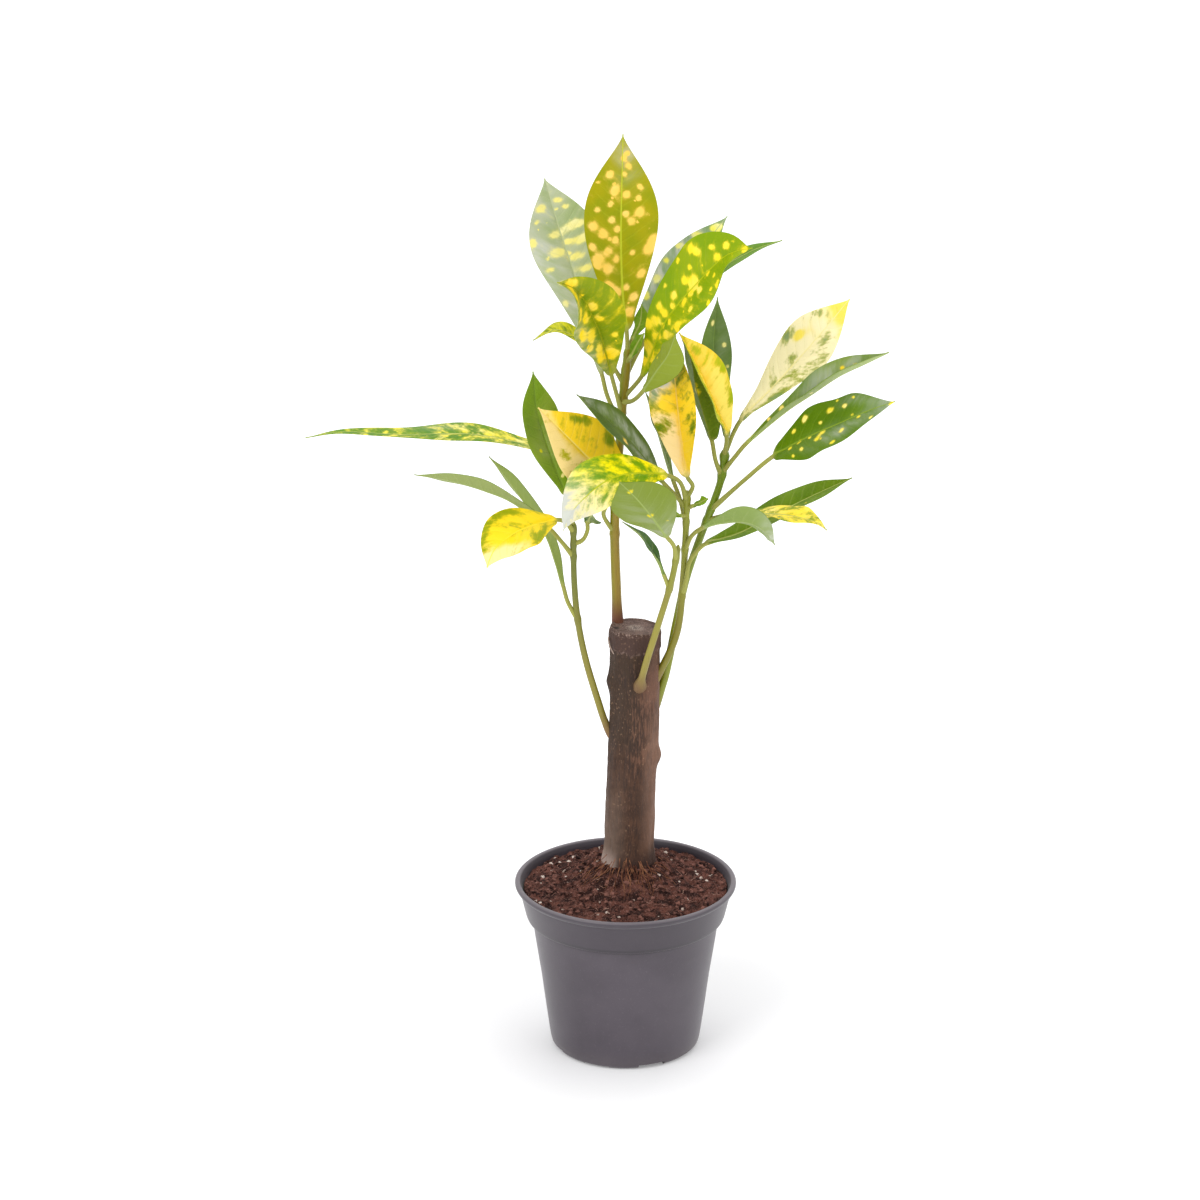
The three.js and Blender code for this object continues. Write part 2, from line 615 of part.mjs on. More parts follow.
// A leaf in one piece: a round stalk whose ring of ten points opens into the upper and lower face of
// the blade. Its foot is mitred to the round of the shoot, a clearance away, or sunk into it.
function leafSolid(leaf) {
  const joint = shootAt(SHOOTS[leaf.shoot], leaf.joins);
  const middles = [...(leaf.stalk ?? []), ...leaf.midrib];
  const passes = [joint.place, shoulder(joint, middles[0]), ...middles.map(point)];
  const curve = new THREE.CatmullRomCurve3(passes, false, "centripetal");
  const bladeStart = (passes.length - leaf.midrib.length) / (passes.length - 1);
  const stalkLine = measure(curve, 0, bladeStart);
  const bladeLine = measure(curve, bladeStart, 1);
  const clear = STALK_CLEAR * (joint.radius + STALK_GAP + PETIOLE_RADIUS);
  const stations = [
    { at: 0, stalk: 0 },
    { at: stalkLine.at(clear), stalk: 0.4 },
    { at: stalkLine.at((clear + stalkLine.whole) / 2), stalk: 0.7 },
  ];
  for (const share of leaf.sunk ? YOUNG_SHARES : BLADE_SHARES) {
    stations.push({ at: bladeLine.at(share * bladeLine.whole), blade: share });
  }
  // A blade's ring faces the light; a stalk's ring faces the way that the ring after it does.
  let facing = point(LIGHT);
  for (const station of stations.toReversed()) {
    const { at, blade } = station;
    const way = curve.getTangent(at);
    const from = blade === undefined ? facing : point(LIGHT);
    facing = from.clone().addScaledVector(way, -from.dot(way)).normalize();
    if (blade !== undefined) {
      const twist = (leaf.twist ?? 0) * smooth(TWIST_START, 1, blade);
      facing.applyAxisAngle(way, radians(leaf.turn + twist));
    }
    Object.assign(station, { middle: curve.getPoint(at), way, normal: facing });
  }
  const fold = radians(leaf.fold);
  const half = leaf.width / 2;
  const rings = stations.map(({ middle, way, normal, stalk, blade }) => {
    const side = way.clone().cross(normal);
    const grown = blade === undefined ? 0 : smooth(0, 0.1, blade);
    const radius = PETIOLE_RADIUS * (1 + 0.3 * (1 - smooth(0, 0.5, stalk ?? 1)));
    const least = blade > 0.5 ? TIP_REACH : 0;
    const spread = half * outline(blade ?? 0, leaf.belly ?? USUAL_BELLY);
    const reach = blade === undefined ? 0 : Math.max(spread, least);
    const edge = (u, top) => {
      const spoke = Math.PI * (top ? 0.5 - 0.4 * u : -0.5 + 0.4 * u);
      const face = ((top ? 0.5 : -0.5) * BLADE_THICKNESS) / Math.cos(fold);
      const keel = top || u !== 0 ? 0 : -KEEL_DEPTH * (1 - (blade ?? 0));
      const x = u * reach * Math.cos(fold) + (1 - grown) * radius * Math.cos(spoke);
      const lean = Math.abs(u) * reach * Math.sin(fold);
      const y = THREE.MathUtils.lerp(radius * Math.sin(spoke), face + keel, grown) + lean;
      return middle.clone().addScaledVector(side, x).addScaledVector(normal, y);
    };
    return [...ACROSS.map((u) => edge(u, true)), ...ACROSS.toReversed().map((u) => edge(u, false))];
  });
  if (!leaf.sunk) mitre(rings, joint, curve);
  return solid(loft(rings, (k) => k > 4));
}

// Slides the points of a stalk's first ring along the stalk until they lie on the shoot's round.
function mitre(rings, joint, curve) {
  const way = curve.getTangent(0.001);
  const flatWay = way.clone().addScaledVector(joint.way, -way.dot(joint.way));
  const reach = joint.radius + STALK_GAP;
  rings[0] = rings[0].map((p) => {
    const offset = p.clone().sub(joint.place);
    offset.addScaledVector(joint.way, -offset.dot(joint.way));
    const a = flatWay.lengthSq();
    const b = offset.dot(flatWay);
    const c = offset.lengthSq() - reach * reach;
    const slide = (-b + Math.sqrt(Math.max(b * b - a * c, 0))) / a;
    return p.clone().addScaledVector(way, slide);
  });
}

// Finishes: a colour, a roughness and how metallic it is.
const finish = (color, roughness) => new THREE.MeshStandardMaterial({ color, roughness, metalness: 0 });
const group = new THREE.Group();

function place(name, body, material) {
  const mesh = new THREE.Mesh(geometryOf(body), material);
  mesh.name = name;
  group.add(mesh);
}

const grownTrunk = trunkSolid(GAP);
place("pot", potSolid(), finish(0x5c555d, 0.6));
place("soil", soilSolid(grownTrunk), finish(0x3f2a25, 0.95));
place("trunk", trunkSolid(), finish(0x63483a, 0.85));
for (const name of Object.keys(SHOOTS)) {
  place("shoot_" + name, shootSolid(name, grownTrunk), finish(0x8f9420, 0.5));
}
for (const [name, leaf] of Object.entries(LEAVES)) {
  place("leaf_" + name, leafSolid(leaf), finish(0x8fae1c, 0.4));
}

// The origin is on the floor, under the middle of the whole plant's box.
const box = new THREE.Box3().setFromObject(group);
const boxMiddle = box.getCenter(new THREE.Vector3());
group.position.set(-boxMiddle.x, -boxMiddle.y, -box.min.z);

export default group;
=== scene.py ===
"""Dresses a potted croton: a cut trunk in its nursery pot, green shoots and variegated leaves."""

import json
import logging
import math
import random
from dataclasses import dataclass, field
from enum import Enum
from typing import Any, Callable, Iterable, Iterator, Sequence, Union

import bpy
import numpy as np
from mathutils import Matrix, Vector, noise

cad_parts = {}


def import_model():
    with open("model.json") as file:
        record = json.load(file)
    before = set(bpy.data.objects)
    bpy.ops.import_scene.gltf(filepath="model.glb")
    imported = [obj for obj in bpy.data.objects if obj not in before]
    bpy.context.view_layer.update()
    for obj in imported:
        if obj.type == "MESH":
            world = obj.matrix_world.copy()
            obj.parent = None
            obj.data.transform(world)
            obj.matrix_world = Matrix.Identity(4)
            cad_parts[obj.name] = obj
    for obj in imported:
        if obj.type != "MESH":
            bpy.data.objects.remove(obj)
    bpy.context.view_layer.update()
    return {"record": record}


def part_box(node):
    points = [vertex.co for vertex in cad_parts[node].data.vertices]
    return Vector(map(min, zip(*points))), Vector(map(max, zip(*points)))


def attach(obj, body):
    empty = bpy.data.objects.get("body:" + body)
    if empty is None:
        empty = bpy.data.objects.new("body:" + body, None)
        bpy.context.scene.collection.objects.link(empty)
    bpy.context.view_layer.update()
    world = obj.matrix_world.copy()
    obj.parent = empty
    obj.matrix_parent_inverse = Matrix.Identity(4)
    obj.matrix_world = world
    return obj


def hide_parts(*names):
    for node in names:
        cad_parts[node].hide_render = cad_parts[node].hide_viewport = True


Triple = tuple[float, float, float]
Pair = tuple[float, float]
Row = tuple[float, ...]

LOG = logging.getLogger("croton")
MM = 0.001
FULL_TURN = 2 * math.pi
BODY = "root"
WHITE = 255
SCREEN_GAMMA = 2.2


def smooth(low: float, high: float, value: float) -> float:
    """Rises softly from 0 at low to 1 at high.

    Args:
        low: Where the rise starts.
        high: Where it ends.
        value: The value to place between them.

    Returns:
        A share from 0 to 1.
    """
    share = min(max((value - low) / (high - low), 0.0), 1.0)
    return share * share * (3 - 2 * share)


def tone(*screen: float) -> Triple:
    """Turns a colour as it looks on a screen, from 0 to 255, into linear light."""
    return tuple(math.pow(value / WHITE, SCREEN_GAMMA) for value in screen)


def spoke(reach: float, angle: float) -> Pair:
    """Gives the place at a reach and an angle from the middle."""
    return reach * math.cos(angle), reach * math.sin(angle)


def turns(count: int) -> list[float]:
    """Gives angles that part a full turn evenly, in radians."""
    return [FULL_TURN * i / count for i in range(count)]


def deselect() -> None:
    """Leaves edit mode and deselects everything."""
    if bpy.context.object is not None and bpy.context.object.mode != "OBJECT":
        bpy.ops.object.mode_set(mode="OBJECT")
    bpy.ops.object.select_all(action="DESELECT")


def choose(*pieces: bpy.types.Object) -> None:
    """Selects only these pieces, and makes the first of them active."""
    deselect()
    for piece in pieces:
        piece.select_set(True)
    bpy.context.view_layer.objects.active = pieces[0]


def added(adder: Callable[..., Any], **settings: Any) -> bpy.types.Object:
    """Adds an object with one of Blender's own operators, and gives it."""
    deselect()
    adder(**settings)
    return bpy.context.object


def delete(piece: bpy.types.Object) -> None:
    """Takes a helper piece away again."""
    choose(piece)
    bpy.ops.object.delete()


def close() -> None:
    """Fills the open ends of the piece in edit mode, turns its faces outwards and leaves edit mode."""
    bpy.ops.mesh.fill_holes(sides=0)
    bpy.ops.mesh.select_all(action="SELECT")
    bpy.ops.mesh.normals_make_consistent(inside=False)
    bpy.ops.object.mode_set(mode="OBJECT")


def join(name: str, pieces: Sequence[bpy.types.Object]) -> bpy.types.Object:
    """Joins pieces into one.

    Args:
        name: The joined piece's name.
        pieces: What to join.

    Returns:
        The joined piece.
    """
    choose(*pieces)
    bpy.ops.object.join()
    pieces[0].name = name
    return pieces[0]


def soften(piece: bpy.types.Object, degrees: float) -> None:
    """Shades a piece smooth, and keeps edges sharp past an angle."""
    choose(piece)
    bpy.ops.object.shade_smooth_by_angle(angle=math.radians(degrees))


class Curve:
    """A smooth line through points in millimetres, rounded evenly through each of them."""

    PIECES = 160
    TINY = 1e-4

    def __init__(self, points: Iterable[Sequence[float]]) -> None:
        """Keeps the points that the line passes, in order."""
        self.points = [Vector(point) for point in points]
        self.lengths = self._measure(0, 1)

    def at(self, place: float) -> Vector:
        """Gives the point at a place along the line.

        Args:
            place: From 0 to 1, with equal steps from point to point.

        Returns:
            The point in millimetres.
        """
        points = self.points
        last = len(points) - 1
        index = min(int(max(place, 0) * last), last - 1)
        part = place * last - index
        before = points[index - 1] if index > 0 else 2 * points[0] - points[1]
        after = points[index + 2] if index + 2 <= last else 2 * points[last] - points[last - 1]
        start, end = points[index], points[index + 1]
        pairs = ((before, start), (start, end), (end, after))
        step0, step1, step2 = (max((there - here).length ** 0.5, self.TINY) for here, there in pairs)
        leave = (start - before) / step0 - (end - before) / (step0 + step1) + (end - start) / step1
        arrive = (end - start) / step1 - (after - start) / (step1 + step2) + (after - end) / step2
        leave, arrive = leave * step1, arrive * step1
        square = -3 * start + 3 * end - 2 * leave - arrive
        cube = 2 * start - 2 * end + leave + arrive
        return start + leave * part + square * part**2 + cube * part**3

    def way(self, place: float) -> Vector:
        """Gives the line's direction at a place from 0 to 1."""
        low, high = max(place - self.TINY, 0), min(place + self.TINY, 1)
        return (self.at(high) - self.at(low)).normalized()

    def _measure(self, start: float, end: float) -> tuple[list[float], list[float]]:
        """Measures a stretch of the line.

        Args:
            start: The place where the stretch starts.
            end: The place where it ends.

        Returns:
            Places along the stretch, and the length from its start to each.
        """
        places = [start + (end - start) * i / self.PIECES for i in range(self.PIECES + 1)]
        spots = [self.at(place) for place in places]
        lengths = [0.0]
        for here, there in zip(spots, spots[1:]):
            lengths.append(lengths[-1] + (there - here).length)
        return places, lengths

    def stretch(self, start: float, end: float) -> tuple[float, Callable[[float], float]]:
        """Gives a stretch's length, and a function from a length in it to a place on the line.

        Args:
            start: The place where the stretch starts.
            end: The place where it ends.

        Returns:
            The whole length, and the function.
        """
        places, lengths = self._measure(start, end)
        return lengths[-1], lambda length: float(np.interp(length, lengths, places))

    def place_at(self, share: float) -> float:
        """Gives the place where a share of the whole length is passed."""
        places, lengths = self.lengths
        return float(np.interp(share * lengths[-1], lengths, places))


def roll_up(
    name: str,
    rings: np.ndarray,
    fields: dict[str, np.ndarray] | None = None,
    spans: np.ndarray | None = None,
    sharp: float = 45,
) -> bpy.types.Object:
    """Rolls a grid up into a closed body through rings of points, and keeps them as its plan.

    Args:
        name: The piece's name.
        rings: Points in millimetres, ring by ring, as an array of rings, places round and three.
        fields: Values to keep on the points, each an array of rings, places round and three.
        spans: Flat coordinates for the piece's map, an array of rings, places round and two.
        sharp: The angle past which an edge stays sharp, in degrees.

    Returns:
        The closed piece.
    """
    count, around = rings.shape[:2]
    grid = bpy.ops.mesh.primitive_grid_add
    piece = added(grid, x_subdivisions=around, y_subdivisions=count - 1, size=2)
    piece.name = name
    mesh = piece.data
    flat = np.empty(len(mesh.vertices) * 3)
    mesh.vertices.foreach_get("co", flat)
    flat = flat.reshape(-1, 3)
    columns = np.rint((flat[:, 0] + 1) / 2 * around).astype(int)
    rows = np.rint((flat[:, 1] + 1) / 2 * (count - 1)).astype(int)
    mesh.vertices.foreach_set("co", (rings[rows, columns % around] * MM).ravel())
    for key, values in {"plan": rings, **(fields or {})}.items():
        layer = mesh.attributes.new(key, "FLOAT_VECTOR", "POINT")
        layer.data.foreach_set("vector", values[rows, columns % around].ravel())
    if spans is not None:
        corners = np.empty(len(mesh.loops), dtype=np.int32)
        mesh.loops.foreach_get("vertex_index", corners)
        flat_map = spans[rows[corners], columns[corners] % around]
        mesh.uv_layers.active.data.foreach_set("uv", flat_map.ravel())
    mesh.update()
    bpy.ops.object.mode_set(mode="EDIT")
    bpy.ops.mesh.select_all(action="SELECT")
    bpy.ops.mesh.remove_doubles(threshold=1e-6)
    close()
    soften(piece, sharp)
    return piece


def tube(
    name: str, points: Sequence[Sequence[float]], radii: Pair, sides: int, steps: int
) -> bpy.types.Object:
    """Makes a round tube along a smooth line.

    Args:
        name: The piece's name.
        points: The line's points in millimetres.
        radii: The radius at the tube's start and at its end.
        sides: How many sides it has.
        steps: How many rings follow its first.

    Returns:
        The closed tube.
    """
    line = Curve(points)
    rings = np.empty((steps + 1, sides, 3))
    side = Vector((0.3, 0.9, 0.2))
    for i in range(steps + 1):
        place = line.place_at(i / steps)
        way = line.way(place)
        side = (side - way * side.dot(way)).normalized()
        front = way.cross(side)
        radius = radii[0] + (radii[1] - radii[0]) * i / steps
        for k, angle in enumerate(turns(sides)):
            out = side * math.cos(angle) + front * math.sin(angle)
            rings[i, k] = line.at(place) + out * radius
    return roll_up(name, rings)


class Value:
    """A socket of a node tree. Sums and products of values add the nodes that work them out."""

    def __init__(self, tree: "Tree", socket: bpy.types.NodeSocket) -> None:
        """Keeps the tree and the socket."""
        self.tree = tree
        self.socket = socket

    def __add__(self, other: "Socket") -> "Value":
        """Adds something to it."""
        return self.tree.math("ADD", self, other)

    def __radd__(self, other: "Socket") -> "Value":
        """Adds it to something."""
        return self.tree.math("ADD", other, self)

    def __sub__(self, other: "Socket") -> "Value":
        """Takes something from it."""
        return self.tree.math("SUBTRACT", self, other)

    def __rsub__(self, other: "Socket") -> "Value":
        """Takes it from something."""
        return self.tree.math("SUBTRACT", other, self)

    def __mul__(self, other: "Socket") -> "Value":
        """Multiplies it by something."""
        return self.tree.math("MULTIPLY", self, other)

    def __truediv__(self, other: "Socket") -> "Value":
        """Divides it by something."""
        return self.tree.math("DIVIDE", self, other)

    def __rtruediv__(self, other: "Socket") -> "Value":
        """Divides something by it."""
        return self.tree.math("DIVIDE", other, self)

    def __pow__(self, other: "Socket") -> "Value":
        """Raises it to a power."""
        return self.tree.math("POWER", self, other)

    def __abs__(self) -> "Value":
        """Takes its sign away."""
        return self.tree.math("ABSOLUTE", self)


Socket = Union[Value, bpy.types.NodeSocket, float, tuple]


class Tree:
    """A node tree that is being wired up. Inputs may be values, sockets, numbers or colours."""

    FIRST_COLOUR, OTHER_COLOUR, MIXED_COLOUR = 6, 7, 2

    def __init__(self, nodes: bpy.types.NodeTree) -> None:
        """Keeps the tree."""
        self.tree = nodes

    def feed(self, socket: bpy.types.NodeSocket, value: Socket) -> None:
        """Links a value into an input, or sets the input's own value.

        Args:
            socket: The input.
            value: A value, a socket, a number or a tuple.
        """
        source = value.socket if isinstance(value, Value) else value
        if isinstance(source, bpy.types.NodeSocket):
            self.tree.links.new(source, socket)
        elif isinstance(source, tuple) and socket.type == "RGBA":
            socket.default_value = (*source, 1.0)
        else:
            socket.default_value = source

    def fill(self, node: bpy.types.Node, **inputs: Socket) -> None:
        """Feeds a node's inputs by name, with _ for a space."""
        for name, value in inputs.items():
            self.feed(node.inputs[name.replace("_", " ")], value)

    def node(self, kind: str, settings: dict[str, Any] | None = None, **inputs: Socket) -> bpy.types.Node:
        """Adds a node.

        Args:
            kind: The node's kind, without ShaderNode in front.
            settings: The node's own settings.
            inputs: Its inputs by name, with _ for a space.

        Returns:
            The node.
        """
        made = self.tree.nodes.new("ShaderNode" + kind)
        for name, value in (settings or {}).items():
            setattr(made, name, value)
        self.fill(made, **inputs)
        return made

    def math(self, operation: str, *values: Socket, kind: str = "Math", output: str = "Value") -> Value:
        """Adds a math node.

        Args:
            operation: What it does.
            values: Its inputs in order.
            kind: The node's kind, without ShaderNode in front.
            output: The output to take.

        Returns:
            The result.
        """
        made = self.node(kind, {"operation": operation})
        for place, value in enumerate(values):
            self.feed(made.inputs[place], value)
        return Value(self, made.outputs[output])

    def mix(self, share: Socket, one: Socket, other: Socket) -> Value:
        """Adds a colour mix and gives its output."""
        made = self.node("Mix", {"data_type": "RGBA"}, Factor=share)
        self.feed(made.inputs[self.FIRST_COLOUR], one)
        self.feed(made.inputs[self.OTHER_COLOUR], other)
        return Value(self, made.outputs[self.MIXED_COLOUR])

    def coat(self, colour: Socket, *layers: tuple[Socket, Socket]) -> Socket:
        """Lays colours over one another. A colour may be three numbers as a screen shows it.

        Args:
            colour: What lies below.
            layers: How much each next colour covers, and the colour.

        Returns:
            The colour that shows.
        """
        for share, over in layers:
            below, above = (tone(*each) if isinstance(each, tuple) else each for each in (colour, over))
            colour = self.mix(share, below, above)
        return colour

    def rise(self, value: Socket, low: Socket, high: Socket) -> Value:
        """Rises softly from 0 where value is low to 1 where it is high."""
        made = self.node("MapRange", {"interpolation_type": "SMOOTHSTEP"}, Value=value)
        self.fill(made, From_Min=low, From_Max=high)
        return Value(self, made.outputs["Result"])

    def fall(self, value: Socket, low: Socket, high: Socket) -> Value:
        """Falls softly from 1 where value is low to 0 where it is high."""
        return 1.0 - self.rise(value, low, high)

    def noise(self, vector: Socket, scale: Socket, detail: float = 3, rough: float = 0.5) -> Value:
        """Adds a noise and gives its value."""
        made = self.node("TexNoise", Vector=vector, Scale=scale, Detail=detail, Roughness=rough)
        return Value(self, made.outputs["Fac"])

    def grain(self, vector: Socket, scale: Triple, detail: float, rough: float) -> Value:
        """Adds a noise that is drawn out, with its own scale in each direction."""
        drawn = self.math("MULTIPLY", vector, scale, kind="VectorMath", output="Vector")
        return self.noise(drawn, 1.0, detail, rough)

    def vector(self, x: Socket, y: Socket, z: Socket) -> Value:
        """Joins three numbers into a vector."""
        return Value(self, self.node("CombineXYZ", X=x, Y=y, Z=z).outputs["Vector"])

    def split(self, vector: Socket) -> list[Value]:
        """Gives a vector's three numbers."""
        return [Value(self, number) for number in self.node("SeparateXYZ", Vector=vector).outputs]

    def own(self, name: str) -> Value:
        """Gives the values that a piece keeps on its points under a name."""
        return Value(self, self.node("Attribute", {"attribute_name": name}).outputs["Vector"])

    def spot(self) -> Value:
        """Gives the place on the piece, in metres."""
        return Value(self, self.node("TexCoord").outputs["Object"])

    def group(self, name: str, **inputs: Socket) -> dict[str, Value]:
        """Places a shared effect.

        Args:
            name: The effect's name.
            inputs: Its inputs by name, with _ for a space.

        Returns:
            Its outputs by name.
        """
        made = self.node("Group", {"node_tree": bpy.data.node_groups[name]}, **inputs)
        return {socket.name: Value(self, socket) for socket in made.outputs}

    def mottled(self, coarse: float, fine: float) -> tuple[Value, Value, Value]:
        """Places the mottle effect on the piece.

        Args:
            coarse: The scale of its broad patches.
            fine: The scale of its grain.

        Returns:
            The place on the piece, the broad patches and the grain.
        """
        spot = self.spot()
        mottle = self.group("mottle", Vector=spot, Coarse=coarse, Fine=fine)
        return spot, mottle["Broad"], mottle["Grain"]

    def bump(self, strength: float, depth: float, height: Socket) -> Socket:
        """Gives the surface's direction under a fine relief of a depth in metres."""
        return self.node("Bump", Strength=strength, Distance=depth, Height=height).outputs["Normal"]


class Paint(Tree):
    """A new material's tree, around its one Principled BSDF."""

    def __init__(self, name: str) -> None:
        """Makes the material under a name."""
        self.material = bpy.data.materials.new(name)
        self.material.use_nodes = True
        super().__init__(self.material.node_tree)

    def finish(self, **inputs: Socket) -> bpy.types.Material:
        """Feeds the surface's inputs by name, with _ for a space, and gives the material."""
        self.fill(self.tree.nodes["Principled BSDF"], **inputs)
        return self.material


def speckled(name: str, dark: Triple, pale: Triple, rough: float) -> bpy.types.Material:
    """Makes a mottled material for loose bits.

    Args:
        name: The material's name.
        dark: Its darker colour.
        pale: Its paler colour.
        rough: Its roughness.

    Returns:
        The material.
    """
    tree = Paint(name)
    _, broad, grain = tree.mottled(260.0, 1800.0)
    colour = tree.coat(dark, (tree.rise(broad, 0.38, 0.62), pale))
    relief = tree.bump(0.5, 0.0005, grain)
    return tree.finish(Base_Color=colour, Roughness=rough, Specular_IOR_Level=0.25, Normal=relief)


class Effects:
    """The effects that more than one material uses."""

    @staticmethod
    def start(
        name: str, inputs: dict[str, str], outputs: dict[str, str]
    ) -> tuple[Tree, dict[str, Value], bpy.types.Node]:
        """Makes an empty effect.

        Args:
            name: The effect's name.
            inputs: Its inputs and their kinds.
            outputs: Its outputs and their kinds.

        Returns:
            The tree, the values that come in by name, and the node that they go out through.
        """
        made = bpy.data.node_groups.new(name, "ShaderNodeTree")
        for way, sockets in (("INPUT", inputs), ("OUTPUT", outputs)):
            for key, kind in sockets.items():
                made.interface.new_socket(name=key, in_out=way, socket_type="NodeSocket" + kind)
        tree = Tree(made)
        source = made.nodes.new("NodeGroupInput")
        given = {socket.name: Value(tree, socket) for socket in source.outputs}
        return tree, given, made.nodes.new("NodeGroupOutput")

    def build(self) -> None:
        """Makes every shared effect."""
        self.veins()
        self.blotches()
        self.mottle()

    def veins(self) -> None:
        """The net of a leaf: side veins that lean towards the tip, and the midrib."""
        tree, given, made = self.start(
            "veins",
            {"Span": "Vector", "Place": "Vector", "Spacing": "Float"},
            {"Vein": "Float", "Rib": "Float", "Height": "Float", "Flow": "Vector"},
        )
        across, along, seed = tree.split(given["Span"])
        off = abs(across)
        stray = tree.noise(given["Span"], 0.09, 1)
        run = along - off * Vein.LEAN - off * off * Vein.BEND + (stray - 0.5) * 3.0
        phase = run / given["Spacing"] + tree.math("SIGN", across) * Vein.SHIFT
        away = abs(tree.math("FRACT", phase) - 0.5) * given["Spacing"]
        u, share, _ = tree.split(given["Place"])
        vein = tree.fall(away, 0.1, 0.75) * tree.fall(abs(u), 0.62, 0.97)
        width = 1.05 - share * 0.75
        rib = tree.fall(off, width * 0.35, width)
        fine = tree.node("TexVoronoi", {"feature": "DISTANCE_TO_EDGE"}, Vector=given["Span"], Scale=0.55)
        net = tree.rise(fine.outputs["Distance"], 0.0, 0.16)
        flow = tree.vector(run, off, seed * 9.7)
        tree.fill(made, Vein=vein, Rib=rib, Height=net * 0.25 - vein * 0.7 - rib, Flow=flow)

    def blotches(self) -> None:
        """The colour patches of a leaf, drawn out along its veins, and its round spots."""
        tree, given, made = self.start(
            "blotches",
            {"Flow": "Vector", "Span": "Vector", "Tint": "Vector", "Cover": "Float", "Size": "Float",
             "Streak": "Float", "Spots": "Float", "Spot Size": "Float"},
            dict.fromkeys(("Gold", "Cream", "Bloom", "Spot", "Halo", "Drift"), "Float"),
        )
        run, off, seed = tree.split(given["Flow"])
        across, along, _ = tree.split(given["Span"])
        side = tree.math("SIGN", across) * 31.0
        spread = tree.vector(run, off * (1.0 - given["Streak"]) + side, seed)
        large = tree.noise(spread, 1.0 / given["Size"], 4, 0.55)
        plain = tree.vector(across, along, seed)
        ragged = tree.noise(plain, 0.45, 3, 0.6)
        gold, cream, painted_sheen = tree.split(given["Tint"])
        drift = tree.noise(plain, 0.06, 2, 0.5)
        level = large + given["Cover"] + gold + (ragged - 0.5) * 0.34
        pale = drift + cream + large * 0.4
        # Painted sheen: a pale veil of reflected light, mottled by the large blotches.
        sheen_veil = painted_sheen * (0.4 + tree.rise(large, 0.38, 0.64))
        cells = tree.node("TexVoronoi", {"feature": "F1"}, Vector=plain, Scale=0.16, Randomness=1.0)
        lot, jitter, _ = tree.split(cells.outputs["Color"])
        reach = given["Spot Size"] * (0.35 + jitter)
        gap = cells.outputs["Distance"] + (ragged - 0.5) * 0.5
        spot = tree.fall(gap, reach * 0.4, reach) * tree.math("LESS_THAN", lot, given["Spots"])
        tree.fill(made, Gold=tree.rise(level, 0.46, 0.72), Halo=tree.rise(level, 0.3, 0.58), Spot=spot)
        tree.fill(made, Cream=tree.rise(pale, 0.6, 1.05), Bloom=sheen_veil, Drift=drift)

    def mottle(self) -> None:
        """Soft uneven patches at two sizes, for plastic, bark and soil."""
        tree, given, made = self.start(
            "mottle", {"Vector": "Vector", "Coarse": "Float", "Fine": "Float"},
            {"Broad": "Float", "Grain": "Float"},
        )
        broad = tree.noise(given["Vector"], given["Coarse"], 4, 0.55)
        tree.fill(made, Broad=broad, Grain=tree.noise(given["Vector"], given["Fine"], 5, 0.65))


class Vein:
    """How side veins run: lean towards the tip, bend, spacing in millimetres, and shift per side."""

    LEAN = 0.62
    BEND = 0.011
    SPACING = 6.4
    SHIFT = 0.25


class Tint(Enum):
    """What a patch on a leaf brings more of."""

    GOLD = 0
    CREAM = 1
    # painted sheen: a pale grey-white veil that stands in for light reflected off the leaf
    BLOOM = 2


@dataclass(frozen=True)
class Patch:
    """A soft patch on a blade. A share across runs from -1 to 1, a share along from 0 to 1.

    Its sizes across and along are in millimetres, and its strength may be below zero.
    """

    tint: Tint
    across: float
    along: float
    wide: float
    long: float
    strength: float


# The pale grey-white of the painted sheen, light reflected off glossy leaves.
BLOOM = (198, 201, 190)
BAR_STRENGTH = 0.7
DOT_STRENGTH = 0.8
MARK_REACH = 0.6


@dataclass(frozen=True, kw_only=True)
class LeafLook:
    """How one leaf is coloured, in colours as a screen shows them.

    The cover pushes the blotches up from none at about -0.3 to all at about 0.3. Sizes are in
    millimetres; the streak is how far blotches are drawn out along the veins. Dots are round golden
    spots: share across, share along and width. Bars are golden marks that are longer one way: share
    across, share along, width and length. The rows of golds, creams and sheen patches are a patch's
    numbers. The painted sheen and the sheen patches paint a pale grey-white veil of reflected light.
    """

    green: Triple = (88, 130, 9)
    shade: Triple = (57, 97, 20)
    gold: Triple = (250, 225, 30)
    cream: Triple = (252, 238, 175)
    back: Triple = (130, 148, 79)
    rib: Triple = (176, 185, 102)
    stalk_tone: Triple = (154, 155, 81)
    cover: float = -0.2
    size: float = 8
    streak: float = 0.55
    spots: float = 0.0
    spot_size: float = 0.5
    painted_sheen: float = 0.0
    rough: float = 0.42
    halo: float = 0.3
    dots: tuple[Row, ...] = ()
    bars: tuple[Row, ...] = ()
    golds: tuple[Row, ...] = ()
    creams: tuple[Row, ...] = ()
    sheen_patches: tuple[Row, ...] = ()

    def patches(self) -> Iterator[Patch]:
        """Gives the leaf's patches one by one."""
        marks = [(across, along, wide, wide, DOT_STRENGTH) for across, along, wide in self.dots]
        marks += [(*bar, BAR_STRENGTH) for bar in self.bars]
        for across, along, wide, long, strength in marks:
            yield Patch(Tint.GOLD, across, along, MARK_REACH * wide, MARK_REACH * long, strength)
        for tint, rows in zip(Tint, (self.golds, self.creams, self.sheen_patches)):
            for row in rows:
                yield Patch(tint, *row)


@dataclass(frozen=True)
class LeafPlan(LeafLook):
    """One leaf: where its stalk joins a shoot, the line of its midrib and how its blade lies."""

    shoot: str
    joins: float
    width: float
    turn: float
    fold: float
    midrib: tuple[Triple, ...]
    stalk: tuple[Triple, ...] = ()
    twist: float = 0
    belly: float = 1.23
    wave: float = 0.8


